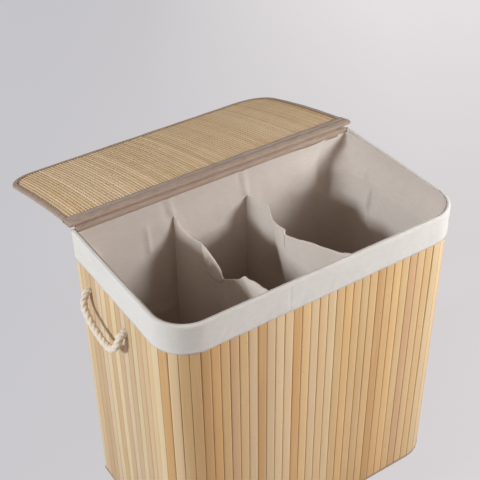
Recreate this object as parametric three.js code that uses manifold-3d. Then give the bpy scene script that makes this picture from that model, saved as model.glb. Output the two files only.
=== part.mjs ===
// A laundry hamper: bamboo slat walls on a cloth backing, held open by two wire hoops, with a
// lift-out cloth liner sewn into three bins, a hinged lid of fine slats and two rope handles.
// Millimetres. +Z is up, +X to the right and +Y to the back, where the lid is hinged. The origin is
// on the ground, under the middle of the body. The lid is modelled open, lying back.
import * as THREE from "three";
import { mergeVertices } from "three/addons/utils/BufferGeometryUtils.js";
import Module from "manifold-3d";

const wasm = await Module();
wasm.setup();

// Driving dimensions of the body
const HEIGHT = 600; // ground to the top of the liner's cuff
const WIDTH = 583; // over the slats
const DEPTH = 319;
const FRONT_RADIUS = 62; // of the two front corners; the back corners are square
const GAP = 0.3; // between pieces that touch or are sewn together

// Slats
const SLAT_PITCH = 17.4;
const SLAT_GROOVE = 1.2; // width of the groove between two slats
const SLAT_GROOVE_DEPTH = 1.3;
const MAT = 3; // slat and backing cloth

// Hoops, tapes and base
const WIRE = 3.5; // diameter of the hoops
const TAPE = 0.6;
const TOP_TAPE_DROP = 22; // how far the top tape comes down over the slats
const FOOT_TAPE_SHOWN = 5; // how much of the tape round the foot shows
const BOARD = 5; // the base board

// Liner
const CLOTH = 0.8;
const CUFF = 56; // height of the cuff folded over the slats
const CUFF_LIP = 10; // how far the cuff reaches down inside
const DRAWN_IN = 20; // how far the bag's sides hang inside the slats
const DRAWN_IN_START = 12; // how far below the top the sides start to draw in
const DRAWN_IN_END = 76; // and are fully drawn in
const SEAM = 0.6; // from the bag's walls to the dividers sewn to them
const LEFT_DIVIDER_X = -104; // at the back wall
const LEFT_DIVIDER_SKEW = 24; // how much further right it is sewn to the front wall
const RIGHT_DIVIDER_X = 50;
const RIGHT_DIVIDER_SKEW = 6;

// Lid
const LID_WIDTH = 596;
const LID_LENGTH = 321; // along the curve, from the hinge edge to the far edge
const LID_SHIFT = 4; // the lid sits this much to the right
const LID_RADIUS = 62; // of the two far corners
const LID_MAT = 2.6;
const LID_SLAT_PITCH = 6.2;
const LID_GROOVE = 0.9;
const LID_GROOVE_DEPTH = 0.6;
const LID_TAPE = 0.8;
const LID_FOLD_GAP = 0.8; // between the lid's slats and the tape folded round them
const LID_TAPE_WIDTH = 9.5; // of the tape round three edges
const LID_HINGE_TAPE_WIDTH = 32; // of the tape along the hinge
const LID_ARCH = 6; // the most that the lid rises over its straight line
const LID_ROOT_ANGLE = 10.6; // degrees that the open lid falls away at its hinge edge
const LID_ROOT_BACK = 3; // from the slats' back face to the lid's hinge edge
const LID_ROOT_UP = 5; // from the top of the body to the lid's middle plane there
const HINGE_TAPE_DROP = 32; // how far the hinge tape is sewn down the back
const HINGE_TAPE_LIP = 6; // how far it reaches down inside
const HINGE_BEAD = 1.75; // height of the folded ridge on it that the lid is sewn to
const HINGE_BEAD_WIDTH = 4;

// Rope handles
const ROPE = 12.5; // diameter
const ROPE_HOLE = 14.5;
const ROPE_DROP = 102; // from the top of the body down to the holes
const ROPE_FROM_BACK = 105.5; // from the back to half way between a handle's two holes
const KNOT = 25;
const KNOT_LENGTH = 14;
const KNOT_ROUND = 5;

// Counts
const CORNER_STEPS = 6;
const CORNER_PANELS = 3; // panels of the liner's bag round a front corner
const LID_STEPS = 3;
const HOOP_SIDES = 8;
const HOLE_SIDES = 16;
const ROPE_SIDES = 10;
const ROPE_STEPS = 34;
const ROPE_END_RINGS = 6; // even, so that a rounded end has its full width at its middle
const BAG_STEPS = 5;
const DIVIDER_STEPS = [26, 11];

// A handle's route, as out from the slats, along the wall from the middle, and down from the holes
const ROPE_ROUTE = [
  [6.6, 63, 0], [10.2, 62.8, 6], [13.8, 61.6, 13.5], [16.6, 57.5, 21.5], [18.4, 49, 29],
  [19.5, 35, 35], [20.2, 18, 39.3], [20.6, 0, 42], [20.8, -17, 43.5], [20.8, -33, 42.8],
  [20.2, -46, 38.5], [18.8, -55.5, 31], [16.4, -60.6, 22], [13.6, -62.4, 13.5], [10.2, -63, 6],
  [6.6, -63, 0],
];

// Sizes that follow from those above
const halfWidth = WIDTH / 2;
const halfDepth = DEPTH / 2;
const footTop = TAPE + GAP; // where the slats start
const liningTop = HEIGHT - CLOTH; // the underside of the cuff's fold
const topTapeTop = liningTop - GAP;
const hoopMiddle = topTapeTop - TAPE - GAP - WIRE / 2;
const matTop = hoopMiddle - WIRE / 2 - GAP;
const wireProud = Math.max(0, (WIRE - MAT) / 2); // the hoop is a little thicker than the slats
const topTapeOut = -wireProud - GAP - TAPE; // insets, counted inwards from the slats' face
const topTapeIn = MAT + wireProud + GAP + TAPE;
const cuffOut = topTapeOut - GAP - CLOTH;
const cuffIn = topTapeIn + GAP + CLOTH;
const boardInset = MAT + GAP + TAPE + GAP;
const bagInset = boardInset + WIRE + GAP; // clear of the lower hoop
const bagFloor = BOARD + GAP;
const drawnInFrom = HEIGHT - DRAWN_IN_START;
const drawnInBy = HEIGHT - DRAWN_IN_END;
const ropeHeight = HEIGHT - ROPE_DROP;
const ropeMiddle = halfDepth - ROPE_FROM_BACK;
const lidThick = LID_MAT + 2 * (LID_FOLD_GAP + LID_TAPE);

const materials = {
  slats: new THREE.MeshStandardMaterial({ color: 0xd9b483, roughness: 0.55, metalness: 0 }),
  lid_slats: new THREE.MeshStandardMaterial({ color: 0xbfa273, roughness: 0.6, metalness: 0 }),
  tape: new THREE.MeshStandardMaterial({ color: 0x9b8375, roughness: 0.9, metalness: 0 }),
  cloth: new THREE.MeshStandardMaterial({ color: 0xdfdcd5, roughness: 0.95, metalness: 0 }),
  rope: new THREE.MeshStandardMaterial({ color: 0xe8dfcb, roughness: 0.9, metalness: 0 }),
  wire: new THREE.MeshStandardMaterial({ color: 0x8d9094, roughness: 0.4, metalness: 0.9 }),
  board: new THREE.MeshStandardMaterial({ color: 0xb9ad98, roughness: 0.9, metalness: 0 }),
};

const hamper = new THREE.Group();

function add(name, geometry, material) {
  const mesh = new THREE.Mesh(geometry, material);
  mesh.name = name;
  hamper.add(mesh);
}

// Geometry helpers

// A closed mesh from points and triangles, turned so that its faces point out.
function closed(points, triangles) {
  let volume = 0;
  const [a, b, c] = [new THREE.Vector3(), new THREE.Vector3(), new THREE.Vector3()];
  for (const [i, j, k] of triangles) {
    volume += a.set(...points[i]).dot(b.set(...points[j]).cross(c.set(...points[k])));
  }
  const faces = volume < 0 ? triangles.map(([i, j, k]) => [i, k, j]) : triangles;
  const geometry = new THREE.BufferGeometry();
  geometry.setAttribute("position", new THREE.Float32BufferAttribute(points.flat(), 3));
  geometry.setIndex(faces.flat());
  return geometry;
}

// The slab between two grids of points of the same size, closed round its edge.
function slab(upper, lower) {
  const rows = upper.length;
  const columns = upper[0].length;
  const points = [...upper.flat(), ...lower.flat()];
  const at = (i, j, side) => side * rows * columns + i * columns + j;
  const triangles = [];
  const quad = (p, q, r, s) => triangles.push([p, q, r], [p, r, s]);
  for (let i = 0; i + 1 < rows; i++) {
    for (let j = 0; j + 1 < columns; j++) {
      quad(at(i, j, 0), at(i + 1, j, 0), at(i + 1, j + 1, 0), at(i, j + 1, 0));
      quad(at(i, j, 1), at(i, j + 1, 1), at(i + 1, j + 1, 1), at(i + 1, j, 1));
    }
  }
  for (let i = 0; i + 1 < rows; i++) {
    quad(at(i, 0, 0), at(i, 0, 1), at(i + 1, 0, 1), at(i + 1, 0, 0));
    const last = columns - 1;
    quad(at(i, last, 0), at(i + 1, last, 0), at(i + 1, last, 1), at(i, last, 1));
  }
  for (let j = 0; j + 1 < columns; j++) {
    quad(at(0, j, 0), at(0, j + 1, 0), at(0, j + 1, 1), at(0, j, 1));
    const last = rows - 1;
    quad(at(last, j, 0), at(last, j, 1), at(last, j + 1, 1), at(last, j + 1, 0));
  }
  return closed(points, triangles);
}

// A section, as [inset, height] pairs, carried along rings of points that place() gives for it.
function sweep(section, stations, place, looped) {
  const rings = stations.map((s) => section.map(([inset, z]) => place(s, inset, z)));
  const sides = section.length;
  const triangles = [];
  const last = looped ? rings.length : rings.length - 1;
  for (let i = 0; i < last; i++) {
    const next = (i + 1) % rings.length;
    for (let j = 0; j < sides; j++) {
      const k = (j + 1) % sides;
      triangles.push([i * sides + j, next * sides + j, next * sides + k]);
      triangles.push([i * sides + j, next * sides + k, i * sides + k]);
    }
  }
  if (!looped) {
    const flat = section.map(([inset, z]) => new THREE.Vector2(inset, z));
    const end = (rings.length - 1) * sides;
    for (const [p, q, r] of THREE.ShapeUtils.triangulateShape(flat, [])) {
      const turned = THREE.ShapeUtils.isClockWise(flat) ? [p, r, q] : [p, q, r];
      triangles.push([turned[0], turned[1], turned[2]]);
      triangles.push([end + turned[0], end + turned[2], end + turned[1]]);
    }
  }
  return closed(rings.flat(), triangles);
}

// An upright prism on a plan outline.
function prism(outline, bottom, top) {
  const shape = new THREE.Shape(outline.map(([x, y]) => new THREE.Vector2(x, y)));
  const geometry = new THREE.ExtrudeGeometry(shape, { depth: top - bottom, bevelEnabled: false });
  return bare(geometry.translate(0, 0, bottom));
}

// Position and shared corners only, which is what a boolean needs.
function bare(geometry) {
  geometry.deleteAttribute("normal");
  geometry.deleteAttribute("uv");
  return mergeVertices(geometry);
}

function solid(geometry) {
  const mesh = new wasm.Mesh({
    numProp: 3,
    vertProperties: new Float32Array(geometry.attributes.position.array),
    triVerts: new Uint32Array(geometry.index.array),
  });
  return new wasm.Manifold(mesh);
}

function meshOf(manifold) {
  const mesh = manifold.getMesh();
  const geometry = new THREE.BufferGeometry();
  const points = new Float32Array(mesh.vertProperties);
  geometry.setAttribute("position", new THREE.BufferAttribute(points, 3));
  geometry.setIndex(new THREE.BufferAttribute(new Uint32Array(mesh.triVerts), 1));
  return geometry;
}

// A rod lying along X, for a hole or a rope's end.
function rodAlongX(radius, from, to, y, z, sides) {
  const rod = new THREE.CylinderGeometry(radius, radius, to - from, sides);
  rod.rotateZ(-Math.PI / 2);
  return bare(rod.translate((from + to) / 2, y, z));
}

function smooth(t) {
  return t * t * (3 - 2 * t);
}

// A smooth line through [place, value] pairs.
function through(pairs, t) {
  const i = Math.max(1, pairs.findIndex(([place]) => place >= t));
  const [from, to] = [pairs[i - 1], pairs[i]];
  return THREE.MathUtils.lerp(from[1], to[1], smooth((t - from[0]) / (to[0] - from[0])));
}

// The walls' plan, as runs along the slats' outer face. A run gives the point and the way inwards
// at each share of its length.

function straight(x0, y0, x1, y1, nx, ny) {
  const length = Math.hypot(x1 - x0, y1 - y0);
  const at = (t) => ({ x: x0 + t * (x1 - x0), y: y0 + t * (y1 - y0), nx, ny, side: 1 - Math.abs(ny) });
  return { length, at, steps: 1 };
}

function corner(centreX, centreY, radius, start) {
  const quarter = Math.PI / 2;
  const at = (t) => {
    const angle = start + t * quarter;
    const [c, s] = [Math.cos(angle), Math.sin(angle)];
    return { x: centreX + radius * c, y: centreY + radius * s, nx: -c, ny: -s, side: Math.abs(c) };
  };
  return { length: quarter * radius, at, steps: CORNER_STEPS };
}

const cornerX = halfWidth - FRONT_RADIUS;
const cornerY = FRONT_RADIUS - halfDepth;
const runs = {
  left: straight(-halfWidth, halfDepth, -halfWidth, cornerY, 1, 0),
  corner_left: corner(-cornerX, cornerY, FRONT_RADIUS, Math.PI),
  front: straight(-cornerX, -halfDepth, cornerX, -halfDepth, 0, 1),
  corner_right: corner(cornerX, cornerY, FRONT_RADIUS, 1.5 * Math.PI),
  right: straight(halfWidth, cornerY, halfWidth, halfDepth, -1, 0),
};
const sideNames = ["left", "corner_left", "front", "corner_right", "right"];

function shares(steps) {
  return Array.from({ length: steps + 1 }, (_, i) => i / steps);
}

function inside(station, inset, z) {
  return [station.x + inset * station.nx, station.y + inset * station.ny, z];
}

// Every station of the plan once round, with mitred ways inwards at the square back corners.
function loop() {
  const stations = [{ x: -halfWidth, y: halfDepth, nx: 1, ny: -1 }];
  for (const name of ["corner_left", "corner_right"]) {
    stations.push(...shares(CORNER_STEPS).map((t) => runs[name].at(t)));
  }
  stations.push({ x: halfWidth, y: halfDepth, nx: -1, ny: -1 });
  return stations;
}

function ring(section) {
  return sweep(section, loop(), inside, true);
}

// Walls of slats: a groove between each two slats, and a flat cloth back

function slatWall(run, bottom, top) {
  const count = Math.round(run.length / SLAT_PITCH);
  const half = SLAT_GROOVE / 2 / run.length;
  const outer = [];
  const inner = [];
  for (let i = 0; i < count; i++) {
    const [start, end] = [i / count, (i + 1) / count];
    outer.push(inside(run.at(start), i === 0 ? 0 : SLAT_GROOVE_DEPTH, 0));
    outer.push(inside(run.at(start + half), 0, 0));
    outer.push(inside(run.at(end - half), 0, 0));
    inner.push(inside(run.at(start), MAT, 0));
  }
  outer.push(inside(run.at(1), 0, 0));
  inner.push(inside(run.at(1), MAT, 0));
  return prism([...outer, ...inner.reverse()], bottom, top);
}

const backX = halfWidth - MAT - GAP;
const backRun = straight(backX, halfDepth, -backX, halfDepth, 0, -1);

// Rope holes, cut through the side walls
function withHoles(geometry, side) {
  let wall = solid(geometry);
  for (const end of [-1, 1]) {
    const y = ropeMiddle + end * ROPE_ROUTE[0][1];
    const middle = side * halfWidth;
    const hole = rodAlongX(ROPE_HOLE / 2, middle - KNOT, middle + KNOT, y, ropeHeight, HOLE_SIDES);
    wall = wall.subtract(solid(hole));
  }
  return meshOf(wall);
}

add("slats_front", slatWall(runs.front, footTop, matTop), materials.slats);
add("slats_corner_left", slatWall(runs.corner_left, footTop, matTop), materials.slats);
add("slats_corner_right", slatWall(runs.corner_right, footTop, matTop), materials.slats);
add("slats_left", withHoles(slatWall(runs.left, footTop, matTop), -1), materials.slats);
add("slats_right", withHoles(slatWall(runs.right, footTop, matTop), 1), materials.slats);
add("slats_back", slatWall(backRun, footTop, matTop), materials.slats);

// Hoops

function hoopSection(inset, z) {
  return shares(HOOP_SIDES)
    .slice(1)
    .map((t) => 2 * Math.PI * t)
    .map((angle) => [inset + (WIRE / 2) * Math.cos(angle), z + (WIRE / 2) * Math.sin(angle)]);
}

add("top_hoop", ring(hoopSection(MAT / 2, hoopMiddle)), materials.wire);
const footHoopInset = boardInset + WIRE / 2;
add("foot_hoop", ring(hoopSection(footHoopInset, BOARD + GAP + WIRE / 2)), materials.wire);

// Tapes folded over the slats' edges, and the base board

// A strip of cloth folded over an upper edge, open downwards.
function foldedOver(out, into, top, thick, dropOut, dropIn) {
  return [
    [out, top - dropOut],
    [out + thick, top - dropOut],
    [out + thick, top - thick],
    [into - thick, top - thick],
    [into - thick, top - dropIn],
    [into, top - dropIn],
    [into, top],
    [out, top],
  ];
}

const topTape = foldedOver(topTapeOut, topTapeIn, topTapeTop, TAPE, TOP_TAPE_DROP, TOP_TAPE_DROP);
add("top_tape", ring(topTape), materials.tape);

const footTape = [
  [-GAP - TAPE, 0],
  [MAT + GAP + TAPE, 0],
  [MAT + GAP + TAPE, BOARD],
  [MAT + GAP, BOARD],
  [MAT + GAP, TAPE],
  [-GAP, TAPE],
  [-GAP, FOOT_TAPE_SHOWN],
  [-GAP - TAPE, FOOT_TAPE_SHOWN],
];
add("foot_tape", ring(footTape), materials.tape);
add("base_board", prism(loop().map((s) => inside(s, boardInset, 0)), 0, BOARD), materials.board);

// The hinge tape over the back edge, with the ridge that the lid is sewn to
const hingeTape = foldedOver(cuffOut, cuffIn, HEIGHT, CLOTH, HINGE_TAPE_DROP, HINGE_TAPE_LIP);
hingeTape.pop();
hingeTape.push([cuffOut + HINGE_BEAD_WIDTH, HEIGHT], [cuffOut, HEIGHT + HINGE_BEAD]);
const tapeX = halfWidth - cuffIn - GAP;
const tapeRun = straight(tapeX, halfDepth, -tapeX, halfDepth, 0, -1);
add("hinge_tape", sweep(hingeTape, shares(1).map((t) => tapeRun.at(t)), inside, false), materials.tape);

// The liner's cuff, one piece of cloth to a side. The end cuffs' lips stop at the back wall, and
// their folds run on over its corners.

const bagBackInset = cuffIn + GAP; // the back wall's top hangs just inside the hinge tape
const lipEnd = halfDepth - bagBackInset - CLOTH - GAP;
const foldEnd = halfDepth - topTapeOut;
const cuff = foldedOver(cuffOut, cuffIn, HEIGHT, CLOTH, CUFF, CUFF_LIP);
const cuffFold = [...cuff.slice(0, 3), [cuffIn, HEIGHT - CLOTH], [cuffIn, HEIGHT], [cuffOut, HEIGHT]];

function along(section, run) {
  return sweep(section, shares(run.steps).map((t) => run.at(t)), inside, false);
}

for (const [name, side] of [["left", -1], ["right", 1]]) {
  const x = side * halfWidth;
  const lipped = along(cuff, straight(x, cornerY, x, lipEnd, -side, 0));
  const fold = along(cuffFold, straight(x, lipEnd, x, foldEnd, -side, 0));
  add(`cuff_${name}`, meshOf(solid(lipped).add(solid(fold))), materials.cloth);
}
for (const name of ["corner_left", "front", "corner_right"]) {
  add(`cuff_${name}`, along(cuff, runs[name]), materials.cloth);
}

// The liner's bag: walls that hang from the cuff, drawn in at the sides, and a floor

const bagTop = HEIGHT - CUFF_LIP;
const bagLevels = [
  bagFloor,
  ...shares(BAG_STEPS).map((t) => THREE.MathUtils.lerp(drawnInBy, drawnInFrom, t)),
  bagTop,
];

// How far inside the slats the bag hangs: side is 1 on the ends, 0 at the front, and between them
// round a corner.
function bagInsetAt(side, z) {
  const upper = cuffIn - CLOTH;
  const lower = THREE.MathUtils.lerp(bagInset, DRAWN_IN, side);
  const share = THREE.MathUtils.clamp((drawnInFrom - z) / (drawnInFrom - drawnInBy), 0, 1);
  return THREE.MathUtils.lerp(upper, lower, smooth(share));
}

// The inner faces of the back and front walls, where other cloth is sewn to them.

function backInsetAt(z) {
  return Math.max(bagBackInset, bagInsetAt(0, z));
}

function backSeam(z) {
  return halfDepth - backInsetAt(z) - CLOTH;
}

function frontSeam(z) {
  return bagInsetAt(0, z) + CLOTH - halfDepth;
}

// A wall between the stations of a run; one of an end wall's two stations is at the back seam.
function bagWall(stations) {
  const face = (thick) =>
    stations.map((station) =>
      bagLevels.map((z) => {
        const [x, y] = inside(station, bagInsetAt(station.side, z) + thick, z);
        return [x, station.atBack ? backSeam(z) - GAP : y, z];
      })
    );
  return slab(face(0), face(CLOTH));
}

for (const name of sideNames) {
  const run = runs[name];
  const stations = shares(run.steps).map((t) => run.at(t));
  for (const station of stations) {
    station.atBack = station.y === halfDepth;
  }
  const panels = run.steps > 1 ? CORNER_PANELS : 1;
  const steps = run.steps / panels;
  for (let i = 0; i < panels; i++) {
    const number = panels > 1 ? `_${i + 1}` : "";
    const panel = bagWall(stations.slice(i * steps, (i + 1) * steps + 1));
    add(`liner_${name}${number}`, panel, materials.cloth);
  }
}

const backLevels = [...bagLevels.slice(0, -1), HEIGHT - CLOTH];
const backFace = (thick) =>
  [-1, 1].map((end) =>
    backLevels.map((z) => [end * (halfWidth - bagInsetAt(1, z)), halfDepth - backInsetAt(z) - thick, z])
  );
add("liner_back", slab(backFace(0), backFace(CLOTH)), materials.cloth);

const floorX = halfWidth - DRAWN_IN - CLOTH - GAP;
const floorOutline = [[-floorX, backSeam(bagFloor) - GAP]];
for (const name of ["corner_left", "corner_right"]) {
  for (const t of shares(CORNER_STEPS)) {
    const station = runs[name].at(t);
    floorOutline.push(inside(station, bagInsetAt(station.side, bagFloor) + CLOTH + GAP, 0));
  }
}
floorOutline.push([floorX, backSeam(bagFloor) - GAP]);
add("liner_floor", prism(floorOutline, bagFloor, bagFloor + CLOTH), materials.cloth);

// Dividers: loose cloth sewn in between the front and back walls. Its top edge sags and leans over.
// The shares go from the back wall, 0, to the front wall, 1.
const leftDivider = {
  x: LEFT_DIVIDER_X,
  skew: LEFT_DIVIDER_SKEW,
  belly: -16, // how far the cloth stands out, half way down
  fold: 2.5,
  folds: 3,
  lean: -13, // how far the top edge leans over where the lean share is 1
  leanCurve: 8, // higher where the lean is nearer to the edge
  sag: 92, // how far below the cuff's top the edge hangs where the sag share is 1
  sagShares: [
    [0, 0.46], [0.08, 0.61], [0.15, 0.69], [0.28, 0.63], [0.36, 0.76], [0.48, 1], [0.54, 0.92],
    [0.63, 0.7], [0.76, 0.78], [1, 0.43],
  ],
  leanShares: [
    [0, 0], [0.26, 0], [0.34, 0.85], [0.42, 1], [0.5, 0], [0.6, -0.1], [0.74, -0.85], [0.86, -0.6],
    [1, 0],
  ],
};
const rightDivider = {
  x: RIGHT_DIVIDER_X,
  skew: RIGHT_DIVIDER_SKEW,
  belly: -14,
  fold: 2,
  folds: 2,
  lean: 18,
  leanCurve: 6,
  sag: 84,
  sagShares: [
    [0, 0.69], [0.2, 0.56], [0.28, 0.83], [0.35, 0.88], [0.38, 1], [0.48, 0.95], [0.65, 0.79],
    [0.81, 0.5], [1, 0.09],
  ],
  leanShares: [[0, 0], [0.2, 0], [0.36, 0.4], [0.48, 0.78], [0.6, 1], [0.76, 0.8], [0.9, 0.2], [1, 0]],
};

function divider(shape) {
  const [across, up] = DIVIDER_STEPS;
  const back = backSeam(bagFloor) - SEAM;
  const front = frontSeam(bagFloor) + SEAM;
  const bottom = bagFloor + CLOTH + GAP;
  const face = (thick) =>
    shares(across).map((t) => {
      const top = HEIGHT - shape.sag * through(shape.sagShares, t);
      return shares(up).map((h) => {
        const held = Math.sin(Math.PI * t); // nothing moves where the cloth is sewn in
        const x =
          shape.x +
          shape.skew * t +
          shape.lean * through(shape.leanShares, t) * h ** shape.leanCurve +
          shape.belly * held * Math.sin(Math.PI * h) +
          shape.fold * held * h * Math.sin(2 * Math.PI * shape.folds * t);
        const z = bottom + h * (top - bottom);
        return [x + thick, THREE.MathUtils.lerp(back, front, t), z];
      });
    });
  return slab(face(-CLOTH / 2), face(CLOTH / 2));
}

add("divider_left", divider(leftDivider), materials.cloth);
add("divider_right", divider(rightDivider), materials.cloth);

// The lid. It is laid out flat, u along it from the hinge edge, v across it and w above its middle,
// and bent over its own weight.

const lidBend = LID_LENGTH ** 2 / (8 * LID_ARCH); // radius of the curve
const lidRoot = THREE.MathUtils.degToRad(LID_ROOT_ANGLE);
const lidHalf = LID_WIDTH / 2;
const lidStations = shares(LID_STEPS).map((t) => t * LID_LENGTH); // where the slats' curve bends

function bent(u, v, w) {
  const angle = lidRoot + u / lidBend;
  return [
    LID_SHIFT + v,
    halfDepth + LID_ROOT_BACK + lidBend * (Math.sin(angle) - Math.sin(lidRoot)) + w * Math.sin(angle),
    HEIGHT + LID_ROOT_UP - lidBend * (Math.cos(lidRoot) - Math.cos(angle)) + w * Math.cos(angle),
  ];
}

// How long the lid is at a place across it, less an inset all round: its far corners are rounded.
function lidReach(v, inset) {
  const past = Math.max(0, Math.abs(v) - (lidHalf - LID_RADIUS));
  const radius = LID_RADIUS - inset;
  return LID_LENGTH - LID_RADIUS + Math.sqrt(Math.max(0, radius ** 2 - past ** 2));
}

function lidMat() {
  const inset = LID_TAPE + LID_FOLD_GAP;
  const width = 2 * (lidHalf - inset);
  const count = Math.round(width / LID_SLAT_PITCH);
  const pitch = width / count;
  const lines = [];
  for (let i = 0; i < count; i++) {
    const start = i * pitch - width / 2;
    lines.push([start, i === 0 ? 0 : LID_GROOVE_DEPTH]);
    lines.push([start + LID_GROOVE / 2, 0], [start + pitch - LID_GROOVE / 2, 0]);
  }
  lines.push([width / 2, 0]);
  const face = (side) =>
    lines.map(([v, groove]) =>
      lidStations.map((u) =>
        bent(THREE.MathUtils.clamp(u, inset, lidReach(v, inset)), v, side * (LID_MAT / 2 - groove))
      )
    );
  return slab(face(1), face(-1));
}

add("lid_slats", lidMat(), materials.lid_slats);

// A tape folded round an edge of the lid, as [inset, w] pairs.
function lidFold(width) {
  const half = lidThick / 2;
  return [
    [0, -half],
    [width, -half],
    [width, LID_TAPE - half],
    [LID_TAPE, LID_TAPE - half],
    [LID_TAPE, half - LID_TAPE],
    [width, half - LID_TAPE],
    [width, half],
    [0, half],
  ];
}

const atLid = ({ u, v, nu, nv }, inset, w) => bent(u + inset * nu, v + inset * nv, w);
const edgeStart = LID_HINGE_TAPE_WIDTH + GAP;
const edgeEnd = LID_LENGTH - LID_RADIUS;
const sideStations = [edgeStart, ...lidStations.filter((u) => u > edgeStart && u < edgeEnd), edgeEnd];
const lidCorner = (centre, from) =>
  shares(CORNER_STEPS).map((t) => {
    const angle = (from + t) * (Math.PI / 2);
    const [nu, nv] = [-Math.sin(angle), Math.cos(angle)];
    return { u: edgeEnd - LID_RADIUS * nu, v: centre - LID_RADIUS * nv, nu, nv };
  });
const edge = [
  ...sideStations.slice(0, -1).map((u) => ({ u, v: -lidHalf, nu: 0, nv: 1 })),
  ...lidCorner(LID_RADIUS - lidHalf, 0),
  ...lidCorner(lidHalf - LID_RADIUS, 1),
  ...sideStations.reverse().slice(1).map((u) => ({ u, v: lidHalf, nu: 0, nv: -1 })),
];
add("lid_edge_tape", sweep(lidFold(LID_TAPE_WIDTH), edge, atLid, false), materials.tape);

const hingeEdge = [-lidHalf, lidHalf].map((v) => ({ u: 0, v, nu: 1, nv: 0 }));
add("lid_hinge_tape", sweep(lidFold(LID_HINGE_TAPE_WIDTH), hingeEdge, atLid, false), materials.tape);

// Rope handles: a loop outside each end wall, and a knotted end inside at each hole

function loopOfRope(side) {
  const points = ROPE_ROUTE.map(([out, along, down]) => {
    return new THREE.Vector3(side * (halfWidth + out), ropeMiddle + along, ropeHeight - down);
  });
  const round = Array.from({ length: ROPE_SIDES }, (_, i) => {
    const angle = (2 * Math.PI * i) / ROPE_SIDES;
    return new THREE.Vector2((ROPE / 2) * Math.cos(angle), (ROPE / 2) * Math.sin(angle));
  });
  const path = new THREE.CatmullRomCurve3(points);
  const tube = new THREE.ExtrudeGeometry(new THREE.Shape(round), { steps: ROPE_STEPS, extrudePath: path });
  let rope = solid(bare(tube));
  for (const end of [points[0], points[points.length - 1]]) {
    const ball = new THREE.SphereGeometry(ROPE / 2, ROPE_SIDES, ROPE_END_RINGS);
    rope = rope.add(solid(bare(ball.translate(end.x, end.y, end.z))));
  }
  return meshOf(rope);
}

// The rope from the slats' face inwards, and the stopper knot behind them, turned about X.
function ropeEnd(side, y) {
  const radius = ROPE / 2;
  const knot = KNOT / 2;
  const start = MAT + GAP;
  const profile = [
    [0, 0],
    [radius, 0],
    [radius, start],
    [knot - KNOT_ROUND, start],
    [knot, start + KNOT_ROUND],
    [knot, start + KNOT_LENGTH - KNOT_ROUND],
    [knot - KNOT_ROUND, start + KNOT_LENGTH],
    [0, start + KNOT_LENGTH],
  ].map(([r, along]) => new THREE.Vector2(r, along));
  const end = new THREE.LatheGeometry(profile, ROPE_SIDES);
  end.rotateZ((side * Math.PI) / 2);
  return bare(end.translate(side * halfWidth, y, ropeHeight));
}

for (const [name, side] of [["left", -1], ["right", 1]]) {
  add(`${name}_handle_rope`, loopOfRope(side), materials.rope);
  for (const [place, end] of [["front", -1], ["back", 1]]) {
    const y = ropeMiddle + end * ROPE_ROUTE[0][1];
    add(`${name}_knot_${place}`, ropeEnd(side, y), materials.rope);
  }
}

export default hamper;
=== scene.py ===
from math import ceil, cos, hypot, pi, radians, sin, sqrt

import bmesh
import bpy
import numpy as np
from mathutils import Matrix, Vector, noise


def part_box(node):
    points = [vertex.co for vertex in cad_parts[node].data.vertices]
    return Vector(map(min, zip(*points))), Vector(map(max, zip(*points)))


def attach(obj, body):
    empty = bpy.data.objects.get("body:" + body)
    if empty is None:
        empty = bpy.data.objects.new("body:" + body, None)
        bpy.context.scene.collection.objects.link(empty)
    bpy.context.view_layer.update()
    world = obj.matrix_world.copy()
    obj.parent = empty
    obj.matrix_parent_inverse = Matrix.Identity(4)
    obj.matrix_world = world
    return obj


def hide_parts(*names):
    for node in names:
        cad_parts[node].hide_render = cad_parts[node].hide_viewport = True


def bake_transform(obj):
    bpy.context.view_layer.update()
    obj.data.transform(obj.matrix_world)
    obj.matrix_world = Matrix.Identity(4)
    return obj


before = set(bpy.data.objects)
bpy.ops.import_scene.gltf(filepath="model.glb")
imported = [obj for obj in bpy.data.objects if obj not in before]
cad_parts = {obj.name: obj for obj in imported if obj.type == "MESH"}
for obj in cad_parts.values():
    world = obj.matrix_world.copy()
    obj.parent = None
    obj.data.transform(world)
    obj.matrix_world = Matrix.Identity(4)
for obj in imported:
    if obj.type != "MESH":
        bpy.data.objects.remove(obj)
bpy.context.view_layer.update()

# A laundry hamper of bamboo slats with a lift-out cloth liner of three bins, a hinged lid of fine
# slats and two rope handles. Metres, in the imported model's frame: +Z up, +Y to the back.

# The camera that the photograph was taken with
CAMERA_TARGET = Vector((-0.0778165, -0.0229803, 0.6))
CAMERA_DISTANCE = 1.616264
CAMERA_AZIMUTH = -0.578732
CAMERA_ELEVATION = 0.646953
CAMERA_ROLL = -0.0154123
CAMERA_LENS_MM = 74.2217
SENSOR_MM = 36.0

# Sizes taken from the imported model
front_low, front_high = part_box("slats_front")
corner_low, corner_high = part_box("slats_corner_left")
cuff_low, cuff_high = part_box("cuff_front")
lid_low, lid_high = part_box("lid_edge_tape")
HALF_WIDTH = -corner_low.x
HALF_DEPTH = -corner_low.y
FRONT_RADIUS = corner_high.x - corner_low.x
SLATS_BOTTOM = front_low.z
SLATS_TOP = front_high.z
MAT = front_high.y - front_low.y
RIM = cuff_high.z
CUFF_HEM = cuff_low.z
CUFF_OUT = -HALF_DEPTH - cuff_low.y
CUFF_IN = cuff_high.y + HALF_DEPTH
BAG_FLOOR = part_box("liner_floor")[1].z

# Slats of the walls
SLAT_PITCH = 0.0174
SLAT_GAP = 0.0009
SLAT_THICK = 0.0024
SLAT_ROUND = 0.0007
SLAT_CROWN = 0.00025
SLAT_WANDER = 0.0003
SLAT_LEVELS = 16
SLAT_LINE_X = 0.003  # one seam of the front wall is here
BACKING_THICK = 0.0004
BACKING_COLUMNS = 240
HOLE_RADIUS = 0.0072
BACKING_HOLE_RADIUS = 0.0062
HOLE_SIDES = 24

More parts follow.
